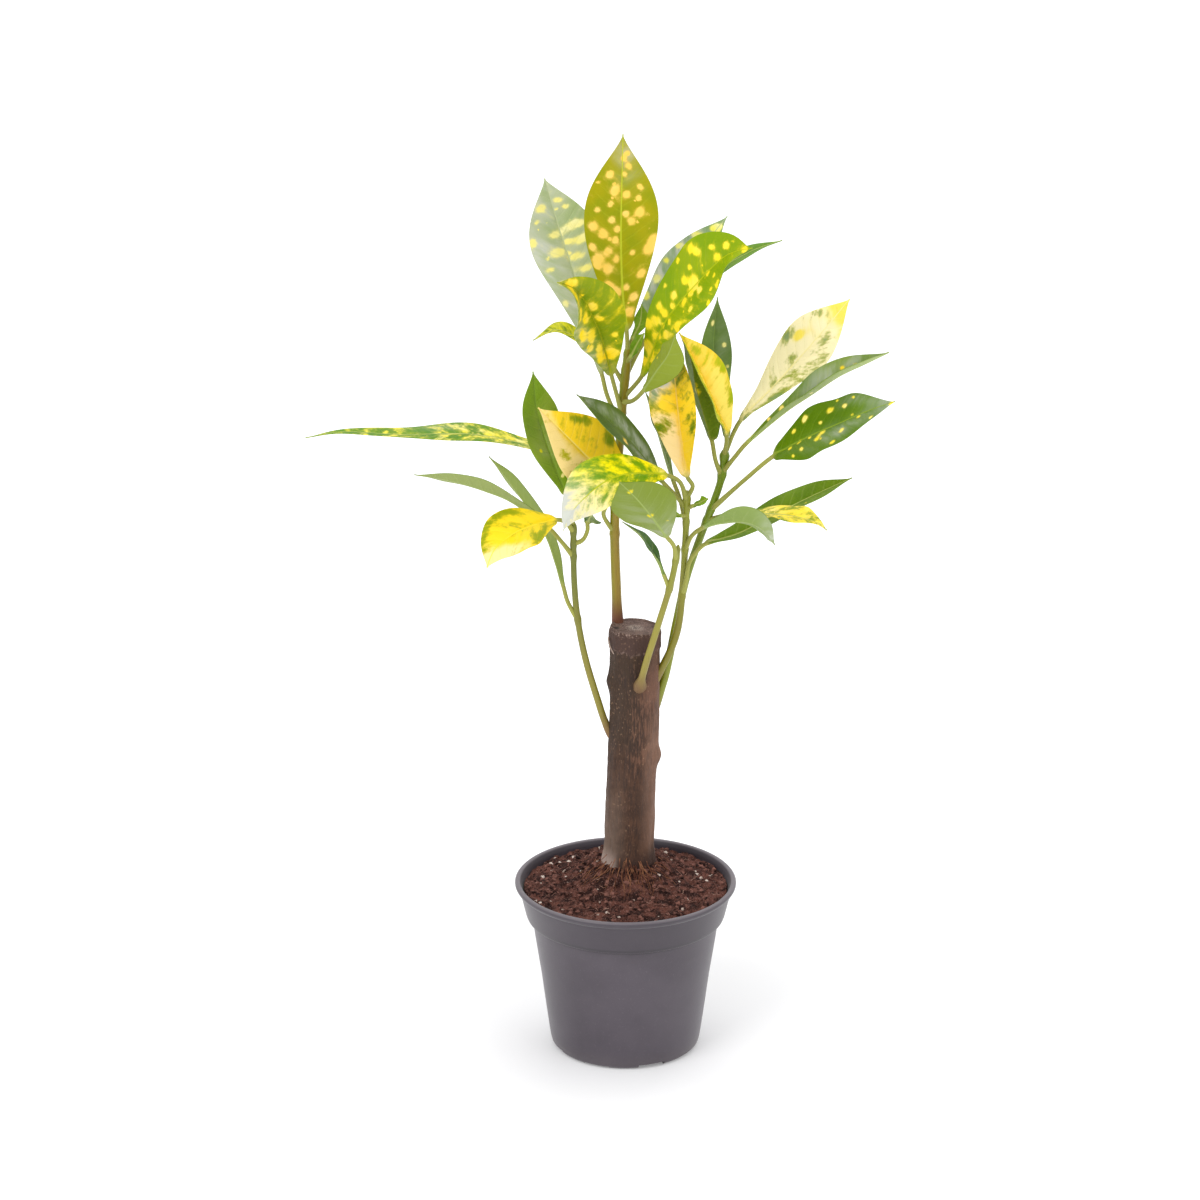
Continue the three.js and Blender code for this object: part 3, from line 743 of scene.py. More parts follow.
@dataclass(frozen=True)
class ShootPlan:
    """One green shoot: its middle line, the radii at its foot and top, its callus and its colours.

    Its cork is how much further up the corky colour reaches, in millimetres, and its flush how
    amber it is on the right.
    """

    line: tuple[Triple, ...]
    radii: Pair
    callus: float
    young: Triple
    old: Triple
    foot: Triple = (130, 106, 65)
    cork: float = 0
    flush: float = 0


SHOOTS = {
    "crown": ShootPlan(
        line=((-4, 16, 228), (-5, 17, 250), (-6, 16, 293), (-4, 15, 329), (-2, 13, 363), (1, 12, 393)),
        radii=(2.7, 2.1), callus=3.3, young=(126, 134, 14), old=(133, 124, 6), foot=(108, 66, 50), cork=9,
        flush=0.5,
    ),
    "left": ShootPlan(
        line=(
            (-3, 8, 170), (-8, 7.5, 176.5), (-11.7, 7.5, 185), (-15.2, 7.5, 196.5), (-21.4, 6.5, 219.5),
            (-25.6, 5.5, 242.5), (-27.6, 4.5, 265.5), (-28, 4, 299),
        ),
        radii=(2, 1.5), callus=2.6, young=(106, 112, 26), old=(132, 123, 44), foot=(122, 92, 62), cork=6,
    ),
    "front": ShootPlan(
        line=(
            (7, 0, 206), (7.6, -5.5, 210.5), (11, -8.5, 225), (17.8, -10.5, 248.5), (24, -10, 271),
            (27.4, -8.5, 290),
        ),
        radii=(1.9, 1.6), callus=4.2, young=(133, 134, 46), old=(143, 132, 52), foot=(114, 86, 60),
        cork=1.5,
    ),
    "right": ShootPlan(
        line=(
            (12, 5, 203), (19.2, 4.5, 216), (25.8, 4, 231.7), (28.4, 4, 243), (30.3, 4, 266), (31, 4, 280),
            (32, 4, 316),
        ),
        radii=(2.1, 1.6), callus=2.8, young=(138, 142, 40), old=(121, 115, 22),
    ),
    "far": ShootPlan(
        line=(
            (12, 9, 184), (16.2, 12, 193.4), (20.4, 12.5, 206), (22.9, 12.5, 217.5), (27.2, 13, 240),
            (32, 13, 263), (39, 13, 285.5), (46.8, 13, 308), (50, 13, 319), (52.3, 12.5, 337),
        ),
        radii=(2.3, 1.9), callus=3.2, young=(109, 131, 15), old=(124, 131, 18),
    ),
}

YOUNG_LEAVES = {
    "young_crown_front": LeafPlan("crown", 384, 7, -30, 10, ((2, 8, 388), (6, 2, 398), (9, -2, 404))),
    "young_crown_back": LeafPlan("crown", 388, 8, 30, 10, ((3, 14, 396), (7, 17, 404), (8, 18, 414))),
    "young_right_out": LeafPlan("right", 306, 6, -50, 10, ((35, 2, 308), (39, -1, 311), (43, -4, 314))),
    "young_right_in": LeafPlan("right", 302, 5, 50, 10, ((29, 1, 303), (26, -3, 305), (23, -6, 308))),
}

LEAVES = {
    "crown_tall": LeafPlan(
        "crown", 390, 39, 4, 6, ((0, 11, 402), (-2, 12, 420), (-3, 13, 450), (-2, 18, 505)),
        green=(157, 150, 0), shade=(139, 144, 0), gold=(246, 200, 88), cream=(248, 216, 130),
        rib=(183, 191, 46), cover=-0.28, halo=0.42, spots=0.42, spot_size=0.26,
        dots=(
            (-0.5, 0.8, 3.4), (-0.2, 0.72, 4.1), (0.15, 0.7, 3.4), (0.5, 0.61, 4.2), (0.28, 0.56, 3.6),
            (-0.75, 0.54, 3.9), (-0.5, 0.5, 4.1), (0.92, 0.47, 5.6), (0.82, 0.42, 5), (-0.4, 0.41, 3.9),
            (-0.75, 0.38, 4.6), (-0.15, 0.37, 3.4), (-0.5, 0.32, 3.9), (0.75, 0.29, 3.4), (-0.6, 0.24, 4.4),
            (-0.3, 0.2, 3.9), (0.2, 0.22, 3.4), (0.6, 0.17, 3.9), (0.4, 0.09, 4.6), (0.35, 0.84, 3.4),
            (0.6, 0.74, 3), (-0.85, 0.44, 3.4), (0.1, 0.88, 2.5), (0.5, 0.68, 2.8), (-0.1, 0.52, 3),
            (-0.25, 0.57, 3), (-0.65, 0.62, 3), (-0.15, 0.47, 2.6), (0.1, 0.8, 2.6), (-0.85, 0.34, 3),
            (0.12, 0.6, 3), (-0.3, 0.65, 2.4), (0.35, 0.4, 2.2),
        ),
        sheen_patches=((0.3, 0.9, 7, 12, 0.3),),
    ),
    "crown_back_left": LeafPlan(
        "crown", 349, 38, 14, 10, ((-13, 18, 376), (-28, 32, 428), (-36, 40, 451), (-43, 47, 474)),
        stalk=((-10, 17, 364),), belly=1.7, green=(174, 183, 141), shade=(155, 172, 113),
        gold=(242, 230, 132), cream=(246, 240, 186), rib=(185, 194, 148), cover=-0.25, spots=0.24,
        spot_size=0.3, painted_sheen=0.16,
        bars=(
            (-0.6, 0.86, 5, 3), (0.35, 0.88, 4, 2.4), (0.5, 0.84, 4, 2.4), (-0.75, 0.8, 3, 2.4),
            (-0.9, 0.71, 3, 4), (-0.2, 0.72, 8, 4), (0.5, 0.74, 10, 4), (0.55, 0.66, 10, 4),
            (-0.3, 0.63, 8, 4), (0.2, 0.59, 8, 3.6), (-0.7, 0.56, 5, 2.6), (-0.5, 0.48, 5, 2.6),
            (0.4, 0.52, 7, 3), (0.1, 0.67, 5, 2.4), (0.45, 0.4, 5, 2.6), (-0.8, 0.38, 3, 3),
        ),
        sheen_patches=((-0.7, 0.5, 10, 50, 0.6),),
    ),
    "crown_front_left": LeafPlan(
        "crown", 356, 36, 7, 34,
        (
            (-8, 3, 380), (-13.5, -10, 405), (-17.5, -20, 418), (-22.5, -31, 431), (-28.5, -41, 440),
            (-35.5, -48, 444.5),
        ),
        stalk=((-5, 8, 367),), twist=15, belly=1.3, green=(135, 148, 0), shade=(117, 141, 0),
        gold=(250, 216, 34), cream=(250, 226, 110), rib=(163, 170, 37), cover=-0.17, halo=0.36, size=5,
        spots=0.24, spot_size=0.3,
        bars=(
            (-0.5, 0.86, 4, 6), (-0.55, 0.72, 4.6, 7), (-0.3, 0.6, 4, 6), (-0.7, 0.52, 4, 6),
            (-0.4, 0.42, 4.4, 7), (-0.7, 0.34, 4, 5), (-0.35, 0.26, 4, 6), (-0.6, 0.18, 4, 5),
            (0.15, 0.62, 4, 5), (0.2, 0.5, 4, 4), (0.55, 0.2, 5, 4), (0.2, 0.16, 5, 4), (0.2, 0.9, 5, 5),
            (0.6, 0.34, 3, 3),
        ),
        sheen_patches=((-0.85, 0.45, 7, 36, 0.42),),
    ),
    "crown_arched": LeafPlan(
        "crown", 372, 18, 72, 10,
        ((-10, 10, 386), (-19, 9, 393), (-27, 9, 399), (-37, 11, 402), (-49, 12, 396)), green=(96, 126, 6),
        shade=(81, 115, 6), gold=(200, 196, 9), cream=(207, 202, 46), cover=0.08, size=3, streak=0.7,
    ),
    "crown_broad": LeafPlan(
        "crown", 364, 41, -40, 14,
        ((8, 10, 377), (20, -5, 411), (37, -21, 437.5), (51, -34, 455), (63, -46, 462)), belly=1.55,
        green=(139, 161, 0), shade=(122, 152, 0), gold=(252, 222, 40), cream=(250, 226, 100),
        rib=(174, 185, 18), cover=-0.25, halo=0.4, size=4, spots=0.4, spot_size=0.28,
        dots=(
            (-0.05, 0.6, 6.2), (-0.3, 0.56, 3.9), (0.1, 0.56, 4.6), (-0.3, 0.46, 3.4), (0.3, 0.63, 3.8),
            (0.15, 0.5, 3.9), (-0.4, 0.85, 3.6), (-0.12, 0.79, 3.4), (-0.8, 0.68, 5.1), (-0.6, 0.7, 3.4),
            (0.1, 0.96, 3.4), (0.85, 0.78, 3.4), (-0.85, 0.26, 5.1), (-0.4, 0.3, 4.6), (-0.2, 0.36, 3.4),
            (-0.6, 0.36, 3.4), (-0.6, 0.16, 4.6), (0.8, 0.42, 4.6), (0.5, 0.3, 3.4), (-0.1, 0.14, 3.4),
            (0.3, 0.12, 3.4), (-0.3, 0.08, 3.4), (-0.5, 0.78, 2.6), (0.35, 0.75, 2.6), (0.05, 0.7, 2.6),
            (-0.45, 0.62, 2.4), (0.6, 0.55, 2.6), (-0.1, 0.42, 2.6), (0.25, 0.36, 2.6), (-0.75, 0.45, 2.6),
            (0.1, 0.25, 2.6), (-0.2, 0.23, 2.8),
        ),
        golds=((0, 0.1, 12, 14, 0.14), (0.75, 0.4, 4, 26, 0.24)),
    ),
    "crown_behind": LeafPlan(
        "crown", 380, 26, -35, 10, ((6, 22, 399), (20, 29, 418.5), (35, 39, 432.5), (53, 45, 454)),
        green=(118, 152, 89), shade=(100, 139, 67), gold=(238, 230, 92), cream=(244, 240, 180),
        rib=(185, 196, 148), cover=-0.24, spots=0.3, spot_size=0.3, painted_sheen=0.1,
        bars=(
            (-0.4, 0.88, 4, 4), (0.3, 0.9, 4, 5), (-0.6, 0.77, 6, 4), (-0.85, 0.64, 3, 3),
            (-0.8, 0.5, 4, 3), (-0.7, 0.36, 4, 4), (-0.85, 0.22, 4, 4), (0, 0.8, 3, 3),
        ),
        sheen_patches=((-0.8, 0.45, 8, 34, 0.85),),
    ),
    "crown_far": LeafPlan(
        "crown", 376, 18, -60, 14, ((12, 26, 395), (39, 47, 417), (66, 62, 430), (83, 70, 434)),
        green=(107, 144, 41), shade=(92, 133, 31), cover=-0.4,
    ),
    "crown_cupped": LeafPlan(
        "crown", 362, 20, 150, 26, ((9, -11, 376), (16, -21, 390), (21, -26, 399), (25, -29, 411)),
        stalk=((3, 2, 366),), green=(100, 122, 37), back=(130, 144, 50), rib=(144, 159, 85), cover=-0.35,
        spots=0.4, spot_size=0.25,
    ),
    "crown_gold": LeafPlan(
        "crown", 288, 37, 22, 16,
        ((-9, 9, 309), (-10, 5, 321), (-18.5, 1, 333), (-32, -6, 350), (-46, -10, 366)),
        stalk=((-12, 12, 300),), belly=1, green=(139, 148, 18), shade=(118, 137, 9), gold=(240, 200, 38),
        cream=(246, 216, 140), rib=(242, 216, 110), cover=0.26, size=6, streak=0.35,
        golds=(
            (-0.5, 0.34, 5, 7, -0.5), (-0.2, 0.12, 6, 6, -0.3), (-0.6, 0.62, 4, 5, -0.24),
            (0.75, 0.7, 3, 6, -0.5), (0.4, 0.52, 3, 3, -0.3), (0.85, 0.4, 3, 5, -0.45),
        ),
        creams=((-0.75, 0.5, 11, 60, 0.8), (0.6, 0.5, 10, 60, -0.5)),
    ),
    "crown_long": LeafPlan(
        "crown", 303, 22, 70, 6,
        ((-32, 27, 326), (-76, 30, 338), (-120, 30, 338.5), (-152, 28, 340.5), (-170, 26, 338)),
        stalk=((-18, 22, 316),), belly=0.85, green=(91, 137, 13), shade=(78, 128, 11), gold=(246, 228, 70),
        cream=(250, 238, 150), cover=0.02, size=6, streak=0.1, halo=0.12, spots=0.5, spot_size=0.45,
        golds=((0, 0.15, 9, 16, 0.08), (0, 0.85, 9, 40, -0.08)), sheen_patches=((0.6, 0.5, 4, 14, 0.35),),
    ),
    "left_upright": LeafPlan(
        "left", 296, 26, 36, 10, ((-32, 6, 313), (-41, 8, 337), (-47, 10, 358), (-49, 12, 379)),
        stalk=((-30, 5, 304),), green=(131, 157, 54), shade=(117, 148, 39), gold=(215, 213, 37), cover=-0.4,
        rib=(122, 152, 56), dots=((0.7, 0.55, 2.4), (0.55, 0.3, 2), (0.4, 0.14, 2.4), (-0.5, 0.4, 1.8)),
        sheen_patches=((0.1, 0.45, 8, 12, 0.16),),
    ),
    "left_yellow": LeafPlan(
        "left", 293, 34, 42, 8,
        ((-37, -6, 303), (-51, -15, 302.5), (-61, -22, 299.5), (-69, -26, 293), (-73, -28, 284)),
        stalk=((-32, -1, 300),), green=(146, 157, 13), shade=(128, 146, 13), gold=(248, 214, 34),
        cream=(248, 226, 150), rib=(250, 222, 50), cover=0.17, halo=0.2, size=5, streak=0.5,
        golds=((0.85, 0.5, 3, 24, -0.2), (-0.7, 0.35, 3, 6, -0.3), (-0.5, 0.85, 8, 12, 0.16)),
        creams=((-0.6, 0.8, 7, 12, 0.5), (0, 1.0, 10, 8, 0.5), (0.2, 0.4, 14, 20, -0.3)),
    ),
    "left_slim": LeafPlan(
        "left", 279, 20, 107, 12,
        ((-41, 3, 295.5), (-61, -1, 312), (-74, -4, 318.5), (-92, -8, 325.5), (-111, -12, 330)),
        stalk=((-35, 2, 289),), green=(105, 131, 37), back=(141, 155, 92), rib=(163, 176, 111), cover=-0.4,
        spots=0.2, spot_size=0.25,
    ),
    "left_sage": LeafPlan(
        "left", 243, 21, 110, 12,
        ((-33.5, 7.5, 261.5), (-42.5, 15.5, 288), (-52, 21.5, 300.5), (-62, 28, 313), (-73, 34, 325)),
        stalk=((-31, 6.5, 252.5),), green=(105, 131, 37), back=(128, 144, 72), rib=(152, 165, 92),
        cover=-0.4,
    ),
    "left_small": LeafPlan(
        "left", 286, 13, 0, 6, ((-20.5, 10, 295.5), (-19.5, 18, 295.5), (-18, 30, 293.5)),
        stalk=((-23, 5, 288), (-20.5, 7.5, 292.5)), green=(139, 155, 68), cover=-0.4,
    ),
    "front_broad": LeafPlan(
        "front", 282, 34, 155, 8, ((21, -20, 298.5), (13, -35, 315), (5, -46, 328.5), (-4, -55, 340.5)),
        stalk=((25, -14, 291),), green=(96, 131, 22), back=(120, 137, 52), rib=(148, 165, 92), cover=-0.4,
        spots=0.16, spot_size=0.28, sheen_patches=((-0.3, 0.08, 12, 16, 0.3), (0.4, 0.4, 8, 24, 0.14)),
    ),
    "front_strip": LeafPlan(
        "front", 266, 16, 80, 10,
        ((20, -9, 273), (18, -8, 278.5), (12.6, -4, 286.5), (7.2, 0, 292.5), (-2, 7, 297.5)),
        green=(88, 120, 56), cover=-0.4,
    ),
    "right_gold": LeafPlan(
        "right", 312, 30, -20, 33,
        ((32, 3, 324), (29, -1, 343), (27, -5, 362), (25, -8, 383), (24, -6.5, 404.5)),
        stalk=((35, 4.5, 318),), green=(104, 126, 4), shade=(89, 117, 4), gold=(244, 204, 44),
        cream=(246, 216, 150), rib=(240, 212, 110), cover=0.2, size=5, streak=0.3,
        golds=(
            (0.1, 0.88, 9, 14, -0.4), (0.8, 0.4, 3, 7, -0.36), (-0.7, 0.4, 4, 5, -0.34),
            (-0.85, 0.62, 3, 6, -0.34), (0, 0.1, 12, 18, 0.3),
        ),
        creams=((-0.65, 0.35, 7, 40, 0.7), (0.6, 0.5, 8, 60, -0.45), (-0.5, 0.55, 7, 9, -0.5)),
        sheen_patches=((-0.6, 0.74, 6, 8, 2.4),),
    ),
    "right_bright": LeafPlan(
        "right", 310, 33, 38, 8,
        (
            (21, -10, 329), (10, -17, 332.5), (-2, -23, 333.5), (-14, -28, 329.5), (-29, -33, 315.5),
            (-33, -34, 306.5),
        ),
        stalk=((28, -3, 323),), green=(100, 148, 0), shade=(78, 133, 0), gold=(255, 236, 5),
        cream=(248, 232, 160), rib=(181, 191, 28), cover=0.06, halo=0.12, size=6.5, streak=0.35,
        golds=((0, 0.85, 22, 12, 0.14),), creams=((0, 0.8, 22, 12, 0.6),), sheen_patches=((0, 0.98, 30, 17, 3.0),),
    ),
    "right_dark": LeafPlan(
        "right", 306, 23, 55, 12,
        ((19, 3.5, 321), (11, 0.5, 333), (-1, -4.5, 349), (-13, -9.5, 362), (-26, -12.5, 374)),
        stalk=((27, 4, 312),), green=(96, 117, 41), shade=(78, 100, 31), cover=-0.4, size=4, streak=0.2,
        gold=(244, 196, 20), rib=(104, 120, 65), golds=((-0.5, 0.5, 2, 2.6, 0.9),),
        sheen_patches=((0.4, 0.45, 3, 26, 0.5), (-0.4, 0.3, 3, 14, 0.36), (0, 0.9, 3, 8, 0.24)),
    ),
    "right_strip": LeafPlan(
        "right", 298, 16, 75, 10, ((25, 9, 319), (22, 11, 328), (18, 13, 341), (10, 16, 367)),
        stalk=((28, 8, 311),), green=(100, 124, 37), shade=(89, 113, 28), cover=-0.4, painted_sheen=0.1,
    ),
    "right_low_dark": LeafPlan(
        "right", 257, 24, -60, 14,
        ((42, 7, 285), (60, 13, 289), (77, 17, 297), (98, 20, 307), (120, 22, 317)),
        stalk=((31.8, 1.5, 267), (33.5, 1, 277), (38.3, 4, 283)), green=(105, 133, 20), shade=(91, 120, 17),
        cover=-0.4, spots=0.16, spot_size=0.25,
    ),
    "right_low_pale": LeafPlan(
        "right", 283, 24, -116, 12,
        ((41, -6, 299), (53, -16, 305.5), (64, -25, 308), (72, -33, 306), (77, -39, 300.5)),
        stalk=((34.6, 0, 292),), belly=1.5, green=(100, 128, 37), back=(130, 150, 81), rib=(159, 174, 111),
        cover=-0.3, spots=0.25, spot_size=0.3, sheen_patches=((0, 0.97, 14, 8, 0.8),),
    ),
    "far_upright": LeafPlan(
        "far", 331, 20, 32, 18, ((53, 20, 340), (47, 28, 368), (46, 32, 391), (48, 34, 413)),
        green=(109, 135, 65), shade=(94, 120, 52), gold=(238, 226, 120), rib=(120, 144, 74), cover=-0.4,
        dots=((-0.3, 0.82, 2.8), (0.75, 0.5, 2.4), (0.6, 0.66, 2.4), (0.7, 0.3, 2), (-0.6, 0.55, 2)),
        sheen_patches=((0.5, 0.5, 5, 30, 0.16),),
    ),
    "far_yellow": LeafPlan(
        "far", 332, 27, 46, 36,
        ((52.5, 5, 347), (47.5, 0, 361), (43.5, -5, 372), (37, -11, 388), (27, -18, 409)), belly=1.1,
        green=(186, 192, 32), shade=(160, 174, 24), gold=(246, 202, 42), cream=(252, 228, 104),
        rib=(242, 214, 60), cover=0.18, size=4, streak=0.7,
        golds=(
            (-0.9, 0.5, 3, 50, -0.34), (0.1, 0.5, 6, 60, 0.1), (0.9, 0.55, 2.4, 5, -0.5),
            (0.9, 0.3, 2.4, 6, -0.45), (0.4, 0.8, 2.4, 5, -0.4),
        ),
        creams=((0.4, 0.35, 6, 30, 0.3),),
    ),
    "far_olive": LeafPlan(
        "far", 321, 26, 125, 20, ((45, 9, 342), (41, 8, 357), (37, 5, 371), (34, 2, 388), (29, -1, 400)),
        stalk=((47, 9, 331),), belly=1, green=(91, 117, 18), back=(100, 124, 26), rib=(130, 144, 56),
        cover=-0.4, spots=0.1,
    ),
    "far_cream": LeafPlan(
        "far", 334, 35, -42, 8,
        ((60, 12, 352), (75, 16, 367), (91, 20, 384), (104, 22, 399), (117, 24, 415)), belly=1.5,
        green=(139, 159, 107), shade=(122, 148, 65), gold=(254, 230, 96), cream=(255, 242, 192),
        rib=(255, 240, 168), cover=0.3, size=5, streak=0.4,
        golds=(
            (-0.85, 0.56, 3, 6, -0.5), (-0.8, 0.8, 3, 3, -0.34), (0.35, 0.7, 4, 6, -0.32),
            (0.3, 0.42, 4, 5, -0.34), (0.85, 0.24, 3, 16, -0.42), (0.8, 0.6, 3, 8, -0.3),
            (-0.05, 0.3, 3, 4, -0.28), (0, 0.02, 6, 3, -0.34), (-0.2, 0.5, 3, 4, -0.3),
        ),
        creams=((0, 0.45, 40, 60, 0.5), (0.2, 1.0, 13, 13, -0.7), (-0.55, 0.62, 2.4, 3, -0.9)),
    ),
    "far_folded": LeafPlan(
        "far", 323, 18, -65, 42,
        (
            (63, 4, 342), (84, -2, 362.5), (96, -4, 371.5), (111, -6, 382.5), (124, -8, 389.5),
            (136, -8, 395.5),
        ),
        stalk=((57, 8, 333),), belly=1.6, green=(113, 137, 33), shade=(96, 124, 26), back=(154, 172, 104),
        cover=-0.4, spots=0.16, spot_size=0.28, gold=(246, 212, 40),
        dots=((-0.4, 0.3, 3.4), (-0.3, 0.72, 3), (-0.1, 0.8, 2.4), (-0.6, 0.2, 2.4), (0.3, 0.5, 2)),
        sheen_patches=((-0.3, 0.66, 6, 24, 0.45),),
    ),
    "far_spotted": LeafPlan(
        "far", 302, 37, -50, 8,
        ((77, -8, 339), (95, -18, 353), (108, -24, 361), (123, -30, 370), (138, -34, 377)),
        stalk=((62, 0, 323),), belly=1.05, wave=1.7, green=(89, 120, 4), shade=(81, 113, 7),
        gold=(244, 222, 60), rib=(131, 155, 46), cover=-0.4, spots=0.2, spot_size=0.24,
        dots=(
            (-0.75, 0.3, 3.6), (-0.6, 0.5, 4.4), (-0.6, 0.2, 3), (-0.55, 0.62, 3), (-0.9, 0.55, 2.4),
            (-0.3, 0.42, 2.4), (0.1, 0.44, 3.6), (0.32, 0.4, 4), (0.5, 0.27, 2.6), (0.8, 0.2, 2.4),
            (0.4, 0.6, 3), (0.78, 0.55, 3.4), (0.15, 0.73, 2.6), (0.8, 0.83, 2), (0.1, 0.33, 2.4),
            (-0.1, 0.68, 2), (0.2, 0.16, 2.4), (-0.8, 0.7, 2),
        ),
        sheen_patches=((0.4, 0.62, 6, 20, 0.36), (0, 1.0, 9, 7, 0.5), (-0.7, 0.74, 4, 12, 0.22)),
    ),
    "far_low_yellow": LeafPlan(
        "far", 296, 20, -65, 10,
        ((66, 0, 304.5), (81, -6, 306), (90, -12, 306.5), (100, -17, 305), (105, -20, 302)),
        stalk=((56, 7, 302),), belly=1, green=(111, 142, 15), shade=(96, 131, 9), gold=(254, 226, 60),
        cream=(255, 232, 130), cover=0.17, halo=0.12, size=4.5, streak=0.35,
        golds=((0, 0.12, 14, 9, -0.16),),
    ),
}


@dataclass(frozen=True)
class Stem:
    """Shoots as round tubes: how finely they are made, and how they swell at leaf joints."""

    sides: int = 20
    step: float = 2.2
    tip_share: float = 0.97
    swelling: float = 0.45
    swelling_reach: float = 2.0
    first_runs: Row = (0, 0.25, 0.7, 1.3)
    callus_run: Pair = (0.03, 0.14)
    tip_taper: float = 0.75
    foot_size: float = 0.15
    uneven: float = 0.04

    def radius(self, plan: ShootPlan, share: float) -> float:
        """Gives a shoot's radius at a share of its length."""
        low, high = plan.radii
        callus = (plan.callus - low) * (1 - smooth(*self.callus_run, share))
        tip = 1 - self.tip_taper * smooth(self.tip_share, 1, share) ** 2
        return (low + (high - low) * share + callus) * tip

    @staticmethod
    def joint(plan: ShootPlan, height: float) -> tuple[Vector, float]:
        """Finds where a shoot passes a height.

        Args:
            plan: The shoot.
            height: The height in millimetres.

        Returns:
            The place, and the share of the shoot's length there.
        """
        line = Curve(plan.line)
        shares = np.linspace(0, 1, 400)
        heights = [line.at(line.place_at(share)).z for share in shares]
        share = float(np.interp(height, heights, shares))
        return line.at(line.place_at(share)), share

    def build(self, name: str, plan: ShootPlan, joints: Sequence[float]) -> bpy.types.Object:
        """Builds one shoot.

        Args:
            name: The shoot's name.
            plan: Its line and sizes.
            joints: The heights where leaves join it.

        Returns:
            The piece.
        """
        line = Curve(plan.line)
        length = line.lengths[1][-1]
        steps = int(length / self.step)
        shares = [self.joint(plan, height)[1] for height in joints]
        runs = [*self.first_runs, *(length * i / steps for i in range(1, steps + 1))]
        rings = np.empty((len(runs), self.sides, 3))
        places = np.empty((len(runs), self.sides, 3))
        for i, run in enumerate(runs):
            share = run / length
            place = line.place_at(share)
            way = line.way(place)
            side = Vector((0, 1, 0)).cross(way).normalized()
            front = way.cross(side)
            radius = self.radius(plan, share)
            for joint in shares:
                away = (share - joint) * length / self.swelling_reach
                radius += self.swelling * math.exp(-away * away)
            radius *= max(math.sqrt(1 - (1 - min(run / plan.callus, 1)) ** 2), self.foot_size)
            for k, angle in enumerate(turns(self.sides)):
                uneven = 1 + self.uneven * math.sin(3 * angle + share * 9)
                out = side * math.cos(angle) + front * math.sin(angle)
                rings[i, k] = line.at(place) + out * radius * uneven
                places[i, k] = (angle, share, run)
        return roll_up(f"stem_{name}", rings, {"place": places})

    @staticmethod
    def dress(name: str, plan: ShootPlan) -> bpy.types.Material:
        """Makes a shoot's material: corky at its foot, olive further up, with fine lengthwise grain.

        Args:
            name: The shoot's name.
            plan: Its colours.

        Returns:
            The material.
        """
        tree = Paint(f"green_stem_{name}")
        angle, share, run = tree.split(tree.own("place"))
        spot = tree.spot()
        grain = tree.grain(spot, (900.0, 900.0, 90.0), 4, 0.6)
        patch = tree.grain(spot, (160.0, 160.0, 60.0), 3, 0.5)
        right = tree.rise(tree.math("COSINE", angle - 5.4), 0.1, 0.95)
        low = tree.fall(run + patch * 12.0, 8.0 + plan.cork, 26.0 + plan.cork)
        colour = tree.coat(
            plan.old,
            (tree.rise(share, 0.25, 0.85), plan.young),
            (right * plan.flush, (150, 112, 6)),
            (low, plan.foot),
            (tree.rise(patch, 0.5, 0.75) * 0.22, plan.foot),
            (tree.rise(grain, 0.45, 0.75) * 0.18, (74, 65, 18)),
        )
        relief = tree.bump(0.35, 0.0003, grain)
        return tree.finish(Base_Color=colour, Roughness=0.4 + low * 0.4, Normal=relief)


@dataclass
class Station:
    """One ring of a leaf: its place on the line, its share of the stalk and its share of the blade."""

    at: float
    stalk: float
    blade: float | None
    middle: Vector | None = None
    side: Vector | None = None
    normal: Vector | None = None


